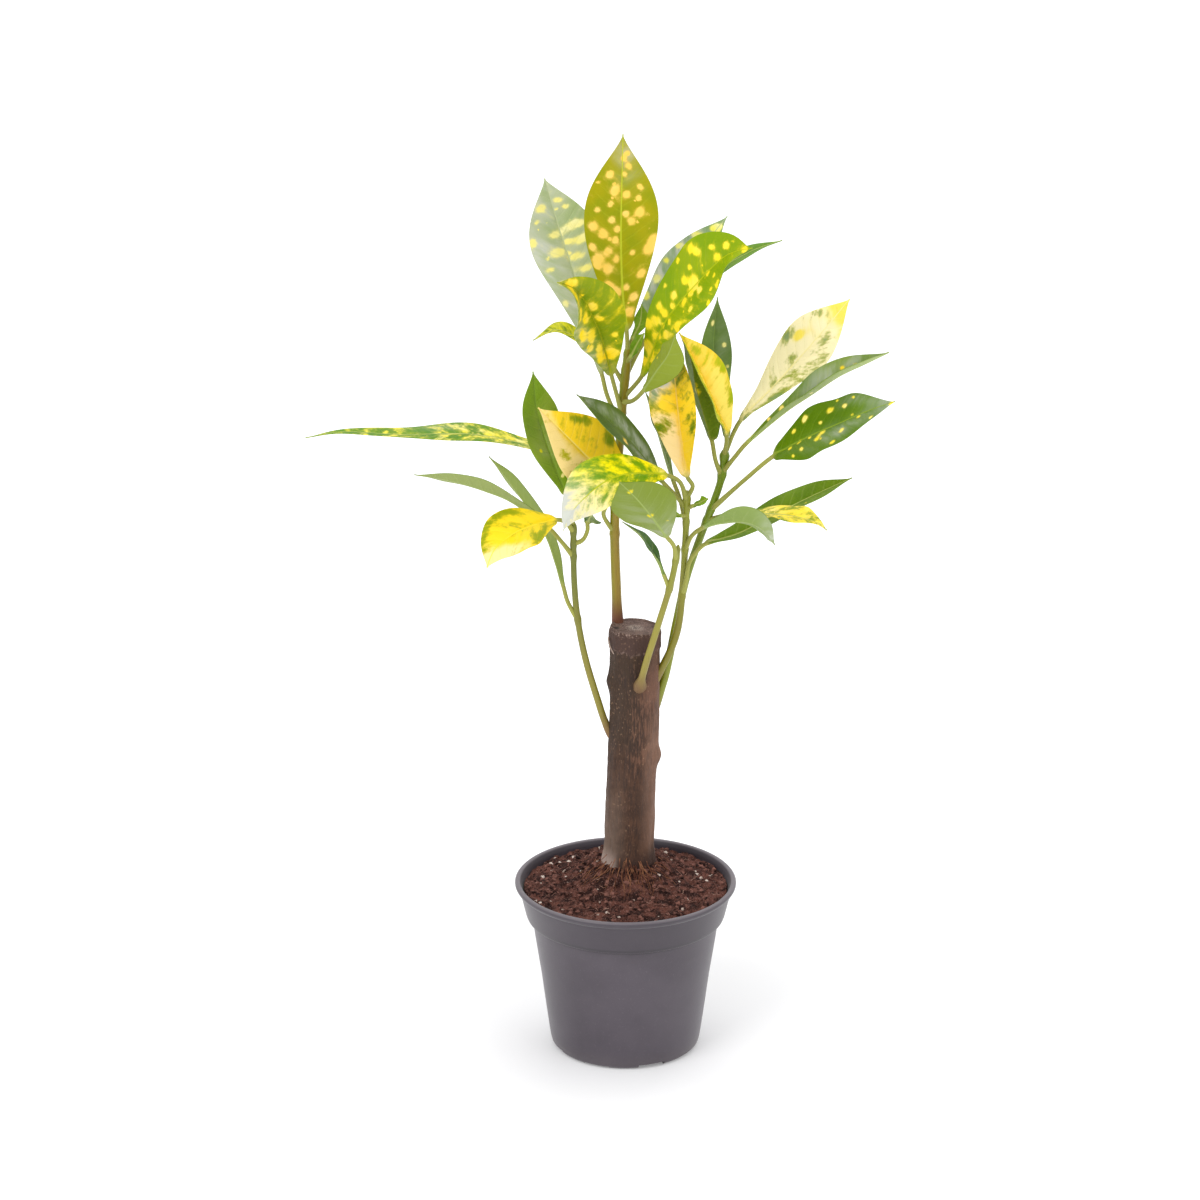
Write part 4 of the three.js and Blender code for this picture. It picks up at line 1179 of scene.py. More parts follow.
@dataclass(frozen=True)
class Foliage:
    """Leaves: sizes that all of them share, in millimetres, and the way that they face."""

    light: Triple = (0, -0.954, 0.301)
    stalk_radius: float = 1.15
    thickness: float = 0.62
    foot_swelling: float = 0.3
    keel: float = 0.9
    keel_width: float = 1.2
    groove: float = 0.45
    groove_width: float = 1.1
    edge_thinning: float = 0.45
    quilt: float = 0.22
    bow: float = 0.22
    tip_reach: float = 0.35
    ring_step: float = 1.15
    column_step: float = 0.85
    map_size: float = 200

    @staticmethod
    def outline(share: float, belly: float) -> float:
        """Gives a blade's half width at a share of its length, as a share of its greatest."""
        return max(math.sin(math.pi * share**belly), 0) ** (0.6 + 0.7 * share)

    def stations(self, plan: LeafPlan) -> tuple[list[Station], float]:
        """Lays out a leaf's rings.

        Args:
            plan: The leaf.

        Returns:
            The rings from the stalk's foot to the blade's tip, and the blade's length.
        """
        passes = [Stem.joint(SHOOTS[plan.shoot], plan.joins)[0], *plan.stalk, *plan.midrib]
        line = Curve(passes)
        split = (len(passes) - len(plan.midrib)) / (len(passes) - 1)
        stalk_length, stalk_at = line.stretch(0, split)
        blade_length, blade_at = line.stretch(split, 1)
        steps = max(int(stalk_length / self.ring_step), 3)
        rings = [Station(stalk_at(stalk_length * i / steps), i / steps, None) for i in range(steps)]
        steps = max(int(blade_length / self.ring_step), 12)
        for i in range(steps + 1):
            share = (i / steps) ** 1.04
            rings.append(Station(blade_at(share * blade_length), 1.0, share))
        light = Vector(self.light)
        facing = light
        for ring in reversed(rings):
            way = line.way(ring.at)
            facing = light if ring.blade is not None else facing
            facing = (facing - way * facing.dot(way)).normalized()
            if ring.blade is not None:
                turn = plan.turn + plan.twist * smooth(0.45, 1, ring.blade)
                facing = Matrix.Rotation(math.radians(turn), 3, way) @ facing
            ring.middle, ring.normal, ring.side = line.at(ring.at), facing, way.cross(facing)
        return rings, blade_length

    def build(self, name: str, plan: LeafPlan, seed: int) -> bpy.types.Object:
        """Builds one leaf with its stalk as a single closed body.

        Args:
            name: The piece's name.
            plan: The leaf.
            seed: Sets the leaf's own waves and blotches apart from the others'.

        Returns:
            The piece.
        """
        stations, length = self.stations(plan)
        half_columns = int(min(max(plan.width / 2 / self.column_step, 7), 24))
        shares = [k / half_columns for k in range(-half_columns, half_columns + 1)]
        across = [math.copysign(abs(u) ** 1.15, u) for u in shares]
        round_the_leaf = [(u, True) for u in across] + [(u, False) for u in reversed(across)]
        rings, place, span, tint = np.zeros((4, len(stations), len(round_the_leaf), 3))
        fold = math.radians(plan.fold)
        lot = random.Random(seed)
        first, second = lot.uniform(0, FULL_TURN), lot.uniform(0, FULL_TURN)
        patches = list(plan.patches())
        for i, ring in enumerate(stations):
            grown = share = full = reach = 0
            if ring.blade is not None:
                share = ring.blade
                grown = smooth(0, 0.1, share)
                full = self.outline(share, plan.belly)
                reach = max(plan.width / 2 * full, self.tip_reach if share > 0.5 else 0)
            radius = self.stalk_radius * (1 + self.foot_swelling * (1 - smooth(0, 0.5, ring.stalk)))
            for k, (u, top) in enumerate(round_the_leaf):
                angle = math.pi * (0.5 - 0.4 * u if top else -0.5 + 0.4 * u)
                off = abs(u) * reach
                run = share * length - Vein.LEAN * off - Vein.BEND * off * off
                phase = run / Vein.SPACING + math.copysign(Vein.SHIFT, u)
                vein = (0.5 - 0.5 * math.cos(FULL_TURN * phase)) ** 3
                quilt = -self.quilt * vein * full * (1 - abs(u) ** 3) * min(1, off / 2)
                dip, spine = (math.exp(-((off / w) ** 2)) for w in (self.groove_width, self.keel_width))
                groove = -self.groove * dip * (1 - 0.7 * share) if top else 0
                keel = 0 if top else -self.keel * (1 - share) * spine
                half = (0.5 if top else -0.5) * self.thickness * (1 - self.edge_thinning * abs(u) ** 6)
                wave = math.sin(9 * share + first + 1.4 * u) + 0.5 * math.sin(17 * share + second - u)
                wave *= plan.wave * abs(u) ** 2 * full
                face = half / math.cos(fold) + keel + groove + quilt
                y = radius * math.sin(angle) * (1 - grown) + face * grown
                y += off * math.sin(fold) * (1 + self.bow * (1 - abs(u))) + wave
                x = u * reach * math.cos(fold) + (1 - grown) * radius * math.cos(angle)
                rings[i, k] = ring.middle + ring.side * x + ring.normal * y
                place[i, k] = (u, ring.stalk - 1 if ring.blade is None else share, 0 if top else 1)
                span[i, k] = (u * reach, share * length, seed)
                for patch in patches:
                    near = ((u - patch.across) * reach / patch.wide) ** 2
                    near += ((share - patch.along) * length / patch.long) ** 2
                    tint[i, k, patch.tint.value] += patch.strength * math.exp(-near)
        # Painted sheen over the whole blade, added to its sheen patches.
        tint[:, :, Tint.BLOOM.value] += plan.painted_sheen
        spans = span[:, :, :2] / self.map_size + 0.5
        return roll_up(name, rings, {"place": place, "span": span, "tint": tint}, spans, sharp=60)

    @staticmethod
    def dress(name: str, look: LeafLook) -> bpy.types.Material:
        """Makes one leaf's material.

        Args:
            name: The leaf's name.
            look: Its colours and markings.

        Returns:
            The material.
        """
        tree = Paint(f"leaf_{name}")
        place, span = tree.own("place"), tree.own("span")
        _, share, under = tree.split(place)
        veins = tree.group("veins", Span=span, Place=place, Spacing=Vein.SPACING)
        marks = tree.group(
            "blotches", Flow=veins["Flow"], Span=span, Tint=tree.own("tint"), Cover=look.cover,
            Size=look.size, Streak=look.streak, Spots=look.spots, Spot_Size=look.spot_size,
        )
        gold, spot, vein = marks["Gold"], marks["Spot"], veins["Vein"]
        # Painted sheen: a pale grey-white veil of reflected light over the top and the underside.
        sheen_veil = marks["Bloom"] * 0.85
        bright = tree.coat(look.gold, (marks["Cream"], look.cream))
        top = tree.coat(
            look.green,
            (tree.rise(marks["Drift"], 0.35, 0.65), look.shade),
            (sheen_veil, BLOOM),
            (marks["Halo"] * look.halo, look.gold),
            (gold, bright),
            (spot, look.gold),
            (vein * 0.13, look.rib),
        )
        layers = (sheen_veil, BLOOM), (gold * 0.75, bright), (spot * 0.8, look.gold), (vein * 0.18, look.rib)
        colour = tree.coat(
            top,
            (under, tree.coat(look.back, *layers)),
            (veins["Rib"] * 0.85, look.rib),
            (tree.fall(share, -0.02, 0.05), look.stalk_tone),
            # where the painted sheen is strongest it covers the gold marks too
            ((marks["Bloom"] - 0.75) * 0.9, BLOOM),
        )
        return tree.finish(
            Base_Color=colour, Roughness=look.rough + under * 0.18, Specular_IOR_Level=0.13,
            Normal=tree.bump(0.3, 0.0004, veins["Height"]),
        )


@dataclass(frozen=True)
class Pot:
    """The nursery pot: one turned wall with a lip, a band and a foot ring, in millimetres."""

    height: float = 95
    rim: float = 60
    foot: float = 38.5
    wall: float = 1.3
    band: float = 74.8
    floor_lift: float = 3
    sides: int = 144
    notch_count: int = 8
    notch_start: float = -69
    notch_width: float = 15
    notch_reach: float = 12
    notch_depths: Pair = (2.4, 1)
    holes: int = 6
    hole_circle: float = 24
    hole_radius: float = 4
    hole_sides: int = 32
    round: float = 0.7

    def profile(self) -> list[Pair]:
        """Gives the wall's section as radii and heights, from the floor's middle below to above."""
        inner = self.wall
        return [
            (0.5, self.floor_lift), (34.5, self.floor_lift), (35.5, 0), (self.foot, 0), (40.2, 1.6),
            (41, 5), (43.1, 20), (45.8, 41), (49.2, 63), (50.7, self.band - 0.5), (53.4, self.band - 0.3),
            (54.2, self.band + 1.8), (57.6, self.height - 4), (59.2, self.height - 3.2),
            (self.rim, self.height - 1.8), (self.rim, self.height - 0.8), (self.rim - 0.8, self.height),
            (self.rim - 2.6, self.height), (57.6 - inner, self.height - 2.5),
            (54.2 - inner, self.band + 3), (50.6 - inner, self.band - 0.5),
            (41 - inner, self.floor_lift + inner + 1.5), (39.5 - inner, self.floor_lift + inner),
            (0.5, self.floor_lift + inner),
        ]

    def rounded(self, corners: list[Pair], steps: int = 4) -> list[Pair]:
        """Rounds the corners of a section.

        Args:
            corners: The section's points.
            steps: How many points each rounding gets.

        Returns:
            The section with every inner corner rounded.
        """
        smoothed = [corners[0]]
        for points in zip(corners, corners[1:], corners[2:]):
            before, corner, after = (Vector(point) for point in points)
            back, on = before - corner, after - corner
            reach = min(self.round, 0.4 * back.length, 0.4 * on.length)
            start, end = corner + back.normalized() * reach, corner + on.normalized() * reach
            for part in (i / steps for i in range(steps + 1)):
                spot = start * (1 - part) ** 2 + corner * 2 * part * (1 - part) + end * part**2
                smoothed.append((spot.x, spot.y))
        return smoothed + [corners[-1]]

    def build(self) -> bpy.types.Object:
        """Turns the wall and cuts the notches and the drain holes."""
        (radius, height), *section = self.rounded(self.profile())
        circle = bpy.ops.mesh.primitive_circle_add
        pot = added(circle, vertices=self.sides, radius=radius * MM, location=(0, 0, 0), fill_type="NGON")
        pot.name = "nursery_pot"
        bpy.ops.object.mode_set(mode="EDIT")
        bpy.ops.mesh.select_all(action="SELECT")
        bpy.ops.transform.translate(value=(0, 0, height * MM))
        bpy.ops.mesh.delete(type="ONLY_FACE")
        bpy.ops.mesh.select_all(action="SELECT")
        for wide, high in section:
            lift = {"value": (0, 0, (high - height) * MM)}
            bpy.ops.mesh.extrude_edges_move(TRANSFORM_OT_translate=lift)
            ratio = wide / radius
            bpy.ops.transform.resize(value=(ratio, ratio, 1), center_override=(0, 0, high * MM))
            radius, height = wide, high
        bpy.ops.mesh.select_all(action="SELECT")
        close()
        self.cut(pot)
        soften(pot, 35)
        return pot

    def cut(self, pot: bpy.types.Object) -> None:
        """Cuts the water notches in the foot ring and the drain holes in the turned pot's floor."""
        cutters = []
        for i in range(self.notch_count):
            depth = self.notch_depths[i % len(self.notch_depths)]
            angle = math.radians(self.notch_start + 360 / self.notch_count * i)
            cutters.append(added(
                bpy.ops.mesh.primitive_cube_add, size=1, location=(*spoke(self.foot * MM, angle), 0),
                rotation=(0, 0, angle),
                scale=(self.notch_reach * MM, self.notch_width * MM, 2 * depth * MM),
            ))
        for angle in turns(self.holes):
            cutters.append(added(
                bpy.ops.mesh.primitive_cylinder_add, vertices=self.hole_sides, radius=self.hole_radius * MM,
                depth=2 * self.floor_lift * MM,
                location=(*spoke(self.hole_circle * MM, angle), self.floor_lift * MM),
            ))
        cutter = join("pot_cutter", cutters)
        cut = pot.modifiers.new("cut", "BOOLEAN")
        cut.operation, cut.object, cut.solver = "DIFFERENCE", cutter, "EXACT"
        choose(pot)
        bpy.ops.object.modifier_apply(modifier=cut.name)
        delete(cutter)

    @staticmethod
    def dress() -> bpy.types.Material:
        """Makes the pot's matt plastic, with a painted highlight along the lip and faint dust."""
        tree = Paint("pot_plastic")
        spot, broad, grain = tree.mottled(22.0, 900.0)
        _, _, height = tree.split(spot)
        speck = tree.rise(grain, 0.55, 0.8)
        # Painted shade: a dark line where the wall steps in under the band.
        step = tree.fall(height, 0.0758, 0.0772) * tree.rise(height, 0.0722, 0.0738)
        dust = tree.fall(height, 0.0, 0.012) * (broad * 0.3)
        colour = tree.coat(
            (66, 59, 67),
            (tree.rise(broad, 0.3, 0.7), (77, 70, 78)),
            (speck * 0.25, (120, 113, 120)),
            (tree.rise(height, 0.0745, 0.0765) * 0.5, (48, 42, 49)),
            # painted shade under the band's step
            (step * 0.6, (38, 33, 39)),
            # painted highlight along the rim's lip
            (tree.rise(height, 0.0938, 0.0949) * 0.4, (139, 131, 137)),
            (dust, (116, 109, 106)),
        )
        return tree.finish(
            Base_Color=colour, Roughness=0.36 + grain * 0.18, Sheen_Weight=0.2, Sheen_Roughness=0.4,
            Normal=tree.bump(0.12, 0.0002, grain),
        )


@dataclass(frozen=True)
class Trunk:
    """The cut trunk: its middle line, its knobs and the bark's relief, in millimetres."""

    radius: float = 13.2
    foot: float = 42
    top: float = 238
    around: int = 132
    step: float = 1.25
    growth_rings: float = 3.4
    lip_height: float = 227
    root_flare: float = 0.7
    butt: float = 1.6
    taper: float = 3
    lip_size: float = 0.75
    ridges: tuple[Triple, ...] = ((0.28, 5, 19), (0.22, 9, -11))
    split_at: Pair = (-5.5, 6.5)
    line: tuple[Triple, ...] = (
        (1.5, 13, 42), (1.8, 12, 100), (2.6, 11, 142), (4.4, 9, 180), (5, 8, 205), (5, 8, 238),
    )
    knobs: tuple[Row, ...] = (
        (180, 207, 1.9, 5), (-2, 164, 2, 5), (-60, 203, 1, 6), (95, 150, 1.6, 6), (140, 120, 1.2, 6),
    )
    cut_shares: Row = (0.955, 0.9, 0.88, 0.8, 0.7, 0.6, 0.5, 0.4, 0.3, 0.2, 0.1)
    sliver_spots: tuple[Triple, ...] = (
        (-176, 232, 0.1), (-167, 231, 0.7), (-157, 228.5, 1.1), (-148, 225, 0.5),
    )

    def middle(self, height: float) -> Vector:
        """Gives the trunk's middle at a height."""
        columns = tuple(zip(*self.line))
        return Vector([float(np.interp(height, columns[2], column)) for column in columns])

    def lip(self, angle: float, height: float) -> float:
        """Gives how much a place belongs to the thicker lip of bark under the cut, from 0 to 1."""
        round_x, round_y = spoke(1, angle)
        ragged = 2.2 * noise.noise(Vector((3 * round_x, 3 * round_y, 4.2)))
        ragged += 0.9 * noise.noise(Vector((9 * round_x, 9 * round_y, 1.7)))
        return smooth(self.lip_height - 0.7, self.lip_height + 0.7, height + ragged)

    def bark(self, angle: float, height: float) -> float:
        """Gives the bark's distance from the trunk's middle, without its fine cracks.

        Args:
            angle: Round the trunk, in radians from +X.
            height: In millimetres.

        Returns:
            The radius in millimetres.
        """
        flare = self.butt * (1 - smooth(92, 118, height))
        flare -= self.taper * (1 - smooth(self.foot, 75, height))
        lip = self.lip_size * self.lip(angle, height) - 0.9 * smooth(235, self.top, height)
        ridges = sum(size * math.sin(count * angle + height / run) for size, count, run in self.ridges)
        lobes = 0.6 + 0.4 * math.sin(4 * angle + 1)
        roots = self.root_flare * lobes * (1 - smooth(97, 112, height)) * smooth(80, 97, height)
        radius = self.radius + flare + lip + ridges + roots
        for turn, rise, size, spread in self.knobs:
            x, y = spoke(1, angle - math.radians(turn))
            distance = math.hypot(math.atan2(y, x) * self.radius, height - rise) / spread
            radius += size * math.exp(-distance * distance)
        return radius

    def rough(self, angle: float, height: float) -> float:
        """Gives the bark's distance from the trunk's middle with its fine ridges and cracks."""
        round_x, round_y = spoke(13, angle)
        long = noise.noise(Vector((round_x / 1.7, round_y / 1.7, height / 13)))
        short = noise.noise(Vector((round_x / 0.8, round_y / 0.8, height / 4)))
        crack = max(0.0, 0.35 - abs(long)) / 0.35
        return self.bark(angle, height) + (0.2 * short - 0.32 * crack**2 + 0.14)

    def build(self) -> bpy.types.Object:
        """Builds the trunk with its bark and its cut top."""
        heights = [*np.arange(self.foot, self.top, self.step), self.top]
        shape = (len(heights) + len(self.cut_shares), self.around, 3)
        rings, cut = np.empty(shape), np.zeros(shape)
        for k, angle in enumerate(turns(self.around)):
            for i, height in enumerate(heights):
                x, y = spoke(self.rough(angle, height), angle)
                tilt = -0.05 * x * smooth(self.top - 6, self.top, height)
                rings[i, k] = self.middle(height) + Vector((x, y, tilt))
                cut[i, k, 1] = self.lip(angle, height)
            for i, share in enumerate(self.cut_shares, len(heights)):
                x, y = spoke(self.rough(angle, self.top) * share, angle)
                uneven = 0.35 * noise.noise(Vector((x / 1.6, y / 1.6, 7)))
                uneven -= 0.7 * (1 - smooth(0.88, 0.93, share))
                rings[i, k] = self.middle(self.top) + Vector((x, y, uneven - 0.05 * x))
                cut[i, k, 0] = 1
        return roll_up("bark_trunk", rings, {"cut": cut})

    def sliver(self) -> bpy.types.Object:
        """Builds the thin strip of bark that peels away on the left, under the cut."""
        points = []
        for turn, rise, off in self.sliver_spots:
            angle = math.radians(turn)
            points.append(self.middle(rise) + Vector((*spoke(self.bark(angle, rise) + off, angle), 0)))
        return tube("bark_sliver", points, (0.55, 0.3), 8, 10)

    def dress(self) -> bpy.types.Material:
        """Makes the bark and the cut wood."""
        tree = Paint("bark")
        place = tree.own("plan")
        x, y, height = tree.split(place)
        cut, rim, _ = tree.split(tree.own("cut"))
        spot, broad, grain = tree.mottled(90.0, 1100.0)
        fibre = tree.grain(spot, (1700.0, 1700.0, 330.0), 5, 0.65)
        long = tree.grain(spot, (1100.0, 1100.0, 130.0), 4, 0.6)
        lean = x - (height - 45.0) * 0.032
        # Painted shade: the upper left of the trunk darker, turned away from the light.
        left_shade = tree.fall(lean, -2.0, 7.0) * tree.rise(height, 155.0, 182.0)
        flakes = tree.rise(height, 146.0, 166.0) * tree.rise(lean, -6.0, 1.0)
        flakes = flakes * tree.fall(height, 197.0, 208.0) * tree.rise(long, 0.5, 0.6)
        pores = tree.node("TexVoronoi", {"feature": "F1"}, Vector=spot, Scale=420.0)
        pore = tree.fall(pores.outputs["Distance"], 0.1, 0.26) * tree.rise(broad, 0.45, 0.6)
        # Painted light: the right side paler and pinkish, broken up by the mottle and fainter higher up.
        lit_right = tree.rise(lean, 3.0, 12.0) * (0.35 + broad) * tree.rise(height, 105.0, 120.0)
        lit_right = lit_right * (1.0 - tree.rise(height, 170.0, 196.0) * 0.65) * 0.66
        # Greyer bark towards the foot on the left, partly painted light falling on the lower left.
        grey = tree.fall(height, 94.0, 170.0) * tree.fall(lean, -10.0, 0.0) * (0.35 + broad)
        low = tree.fall(height, 101.0, 113.0)
        flush = tree.rise(height, 190.0, 204.0) * tree.fall(height, 214.0, 222.0)
        flush = flush * tree.rise(lean, 0.0, 9.0) * (grain * 0.5)
        torn = rim * (1.0 - rim) * tree.rise(long, 0.44, 0.62)
        # Painted highlights in patches along the top edge of the bark, under the cut.
        edge = tree.rise(height, 235.6, 237.4) * tree.rise(grain, 0.5, 0.62)
        bark = tree.coat(
            (60, 39, 26),
            (tree.rise(broad, 0.34, 0.66), (80, 54, 38)),
            # painted shade on the upper left
            (left_shade * 0.8, (52, 37, 23)),
            (tree.fall(long, 0.38, 0.5) * 0.6, (46, 31, 26)),
            (tree.rise(fibre, 0.54, 0.72) * 0.42, (138, 101, 82)),
            (flakes * 0.42, (126, 88, 70)),
            (pore * 0.5, (148, 117, 91)),
            # painted light on the right side
            (lit_right, (138, 104, 86)),
            # grey bark and painted light on the lower left
            (grey * 0.75, (128, 108, 94)),
            (low * tree.fall(lean, -10.0, -5.0) * 0.8, (182, 160, 150)),
            (low * tree.rise(lean, -9.0, -4.0) * 0.75, (52, 30, 24)),
            (flush, (136, 94, 76)),
            (rim * 0.5, (76, 54, 50)),
            (torn * 1.8, (150, 124, 112)),
            # painted highlights on the bark's top edge
            (edge * 0.6, (168, 142, 130)),
        )
        middle = self.middle(self.top)
        away = tree.math("SQRT", (x - middle.x) ** 2.0 + (y - middle.y) ** 2.0)
        growth = tree.math("SINE", (away + broad * 7.0) * self.growth_rings)
        heart = tree.fall(away, 2.0, 6.5) * tree.rise(grain, 0.42, 0.56)
        gap = tree.math("DISTANCE", place, (*self.split_at, self.top), kind="VectorMath")
        wood = tree.coat(
            (82, 60, 54),
            (tree.rise(broad, 0.36, 0.64), (124, 100, 92)),
            (tree.rise(growth, -0.4, 0.9) * 0.28, (61, 46, 43)),
            (tree.fall(grain, 0.4, 0.54) * 0.6, (48, 35, 33)),
            (heart * 0.6, (176, 162, 154)),
            (tree.fall(away, 0.6, 1.6) * 0.5, (46, 33, 31)),
            (tree.fall(gap, 0.9, 2.6) * 0.85, (34, 22, 22)),
        )
        relief = tree.bump(0.55, 0.0006, fibre * 0.6 + grain)
        return tree.finish(Base_Color=tree.mix(cut, bark, wood), Roughness=0.82, Normal=relief)


@dataclass(frozen=True)
class Soil:
    """Potting soil: its heaped surface, crumbs, mineral grains and root fibres, in millimetres."""

    level: float = 90.5
    heap: float = 10
    heap_reach: float = 17
    edge: float = 55.4
    around: int = 250
    rings: int = 100
    crumbs: int = 740
    grains: int = 26
    fibres: int = 64
    threads: int = 90
    wall: tuple[Pair, ...] = ((38.1, 4.8), (39.4, 5.8), (49, 74.3), (55.4, 89.7))
    placed_grains: tuple[Triple, ...] = (
        (-28, 35, 1.2), (-33, 16.6, 1.5), (-24, 8, 1.1), (-20, 3, 0.9), (4, -24, 1), (-10, -38, 1.1),
        (-3.7, -43, 0.8), (13.6, -9, 0.9), (18, -4, 1.2), (25, 22, 1.1), (-45, 12, 1.3), (-40, 18, 1),
        (-41, 27, 1.4), (-36, 30, 1), (-31, 26, 1.2), (41, 8, 1.3), (44, 4, 1), (39, 13, 1.1),
        (46, 12, 0.8), (-46, 3, 0.9), (33, -18, 0.8), (-14, -24, 0.9), (22, 34, 1.1),
    )
    trunk: Trunk = field(default_factory=Trunk)

    def from_trunk(self, x: float, y: float) -> float:
        """Gives how far a place lies from the bark, below zero inside it."""
        middle = self.trunk.middle(100)
        return math.hypot(x - middle.x, y - middle.y) - self.trunk.radius

    def height(self, x: float, y: float) -> float:
        """Gives the surface's height at a place, without its loose crumbs.

        Args:
            x: Place to the right, in millimetres.
            y: Place to the back, in millimetres.

        Returns:
            The height in millimetres.
        """
        away = max(self.from_trunk(x, y), 0)
        heap = self.heap * math.exp(-((away / self.heap_reach) ** 2))
        clods = math.sin(x / 3.1 + 1.3 * math.sin(y / 4.3)) * math.sin(y / 3.7 + 1.1 * math.sin(x / 5.2))
        lumps = 1 - 2.4 * abs(noise.noise(Vector((x / 3.4, y / 3.4, 3))))
        fine = noise.noise(Vector((x / 1.5, y / 1.5, 8))) + 0.6 * noise.noise(Vector((x / 0.8, y / 0.8, 2)))
        return self.level + heap + 0.9 * clods + 0.9 * lumps + 0.7 * fine

    def build(self) -> bpy.types.Object:
        """Builds the body of soil with its rough top."""
        angles = turns(self.around)
        rings = [[(*spoke(reach, angle), high) for angle in angles] for reach, high in self.wall]
        for i in range(self.rings):
            reach = (self.edge - 0.4) * (1 - i / self.rings)
            ring = [spoke(reach, angle) for angle in angles]
            rings.append([(x, y, self.height(x, y)) for x, y in ring])
        return roll_up("soil_bed", np.array(rings), sharp=60)

    def scatter(
        self, name: str, count: int, sizes: Pair, seed: int, flat: float, placed: Sequence[Triple] = ()
    ) -> bpy.types.Object:
        """Scatters small lumps over the soil, most of them near the smallest size.

        Args:
            name: The joined piece's name.
            count: How many lumps.
            sizes: The smallest and the largest radius in millimetres.
            seed: Sets where they lie.
            flat: How flat they are: 1 is round.
            placed: More lumps, each as its place to the right and to the back and its radius.

        Returns:
            The lumps as one piece.
        """
        lot = random.Random(seed)
        model = added(bpy.ops.mesh.primitive_ico_sphere_add, subdivisions=2, radius=1)
        lumps = [self.lump(model, x, y, size, flat, lot) for x, y, size in placed]
        while len(lumps) < count + len(placed):
            angle = lot.uniform(0, FULL_TURN)
            x, y = spoke(math.sqrt(lot.random()) * (self.edge - 1.5), angle)
            if self.from_trunk(x, y) < 0.3:
                continue
            size = sizes[0] + (sizes[1] - sizes[0]) * lot.random() ** 2
            lumps.append(self.lump(model, x, y, size, flat, lot))
        delete(model)
        return join(name, lumps)

    def lump(
        self, model: bpy.types.Object, x: float, y: float, size: float, flat: float, lot: random.Random
    ) -> bpy.types.Object:
        """Copies a lump to a place on the soil and makes it uneven.

        Args:
            model: The round lump to copy.
            x: Place to the right, in millimetres.
            y: Place to the back, in millimetres.
            size: Its radius in millimetres.
            flat: How flat it is.
            lot: Where its turn and unevenness come from.

        Returns:
            The lump.
        """
        piece = model.copy()
        piece.data = model.data.copy()
        bpy.context.scene.collection.objects.link(piece)
        shift = Vector([lot.uniform(0, 50) for _ in range(3)])
        for vertex in piece.data.vertices:
            vertex.co *= 1 + 0.8 * noise.noise(vertex.co * 1.6 + shift)
        turn = Matrix.Rotation(lot.uniform(0, 6.28), 4, "Z")
        turn = turn @ Matrix.Rotation(lot.uniform(-0.6, 0.6), 4, "X")
        shape = Matrix.Diagonal((size * MM, size * MM * lot.uniform(0.5, 1), size * MM * flat, 1))
        place = Matrix.Translation(Vector((x, y, self.height(x, y) + 0.25 * size * flat)) * MM)
        piece.data.transform(place @ turn @ shape)
        return piece

    def root_fibres(self) -> bpy.types.Object:
        """Builds fine root fibres that fan down from the trunk's foot onto the soil, most at the front."""
        lot = random.Random(12)
        middle = self.trunk.middle(100)
        strands = []
        for i in range(self.fibres):
            front = i < 0.7 * self.fibres
            angle = math.radians(lot.gauss(-96, 36)) if front else lot.uniform(0, FULL_TURN)
            reach = self.trunk.radius + lot.uniform(-0.4, 5)
            lift = 0.4 + 7.5 * lot.random() ** 2 if front else lot.uniform(0.3, 1.5)
            step = lot.uniform(1.4, 5.0)
            points = []
            for place in range(5):
                right, back = spoke(reach, angle)
                x, y = middle.x + right, middle.y + back
                points.append((x, y, self.height(x, y) + 0.25 + lift * (1 - place / 4) ** 2))
                reach += step
                angle += lot.uniform(-0.09, 0.09)
            strands.append(tube(f"fibre_{i}", points, (0.2, 0.09), 5, 9))
        return join("root_fibres", strands)

    def root_threads(self) -> bpy.types.Object:
        """Builds short loose root threads that lie anywhere on the soil."""
        lot = random.Random(31)
        strands: list[bpy.types.Object] = []
        while len(strands) < self.threads:
            turn, reach = lot.uniform(0, FULL_TURN), math.sqrt(lot.random()) * (self.edge - 7)
            x, y = spoke(reach, turn)
            if self.from_trunk(x, y) < 2:
                continue
            heading, step = lot.uniform(0, FULL_TURN), lot.uniform(0.6, 1.6)
            points = []
            for _ in range(4):
                points.append((x, y, self.height(x, y) + 0.35))
                right, back = spoke(step, heading)
                x, y = x + right, y + back
                heading += lot.uniform(-0.5, 0.5)
            strands.append(tube(f"thread_{len(strands)}", points, (0.2, 0.12), 4, 7))
        return join("root_threads", strands)

    @staticmethod
    def dress() -> bpy.types.Material:
        """Makes dark red-brown soil, pale specks with painted highlight, near-black painted shade in
        hollows.
        """
        tree = Paint("soil")
        _, broad, grain = tree.mottled(170.0, 1500.0)
        colour = tree.coat(
            (45, 25, 21),
            (tree.rise(broad, 0.38, 0.62), (102, 65, 56)),
            # pale specks, partly painted highlight on crumbs
            (tree.rise(grain, 0.54, 0.7) * 0.62, (166, 132, 124)),
            # painted shade: near-black specks that stand for hollows
            (tree.fall(grain, 0.34, 0.46) * 0.8, (24, 14, 14)),
        )
        relief = tree.bump(0.7, 0.0009, grain)
        return tree.finish(Base_Color=colour, Roughness=0.95, Specular_IOR_Level=0.2, Normal=relief)


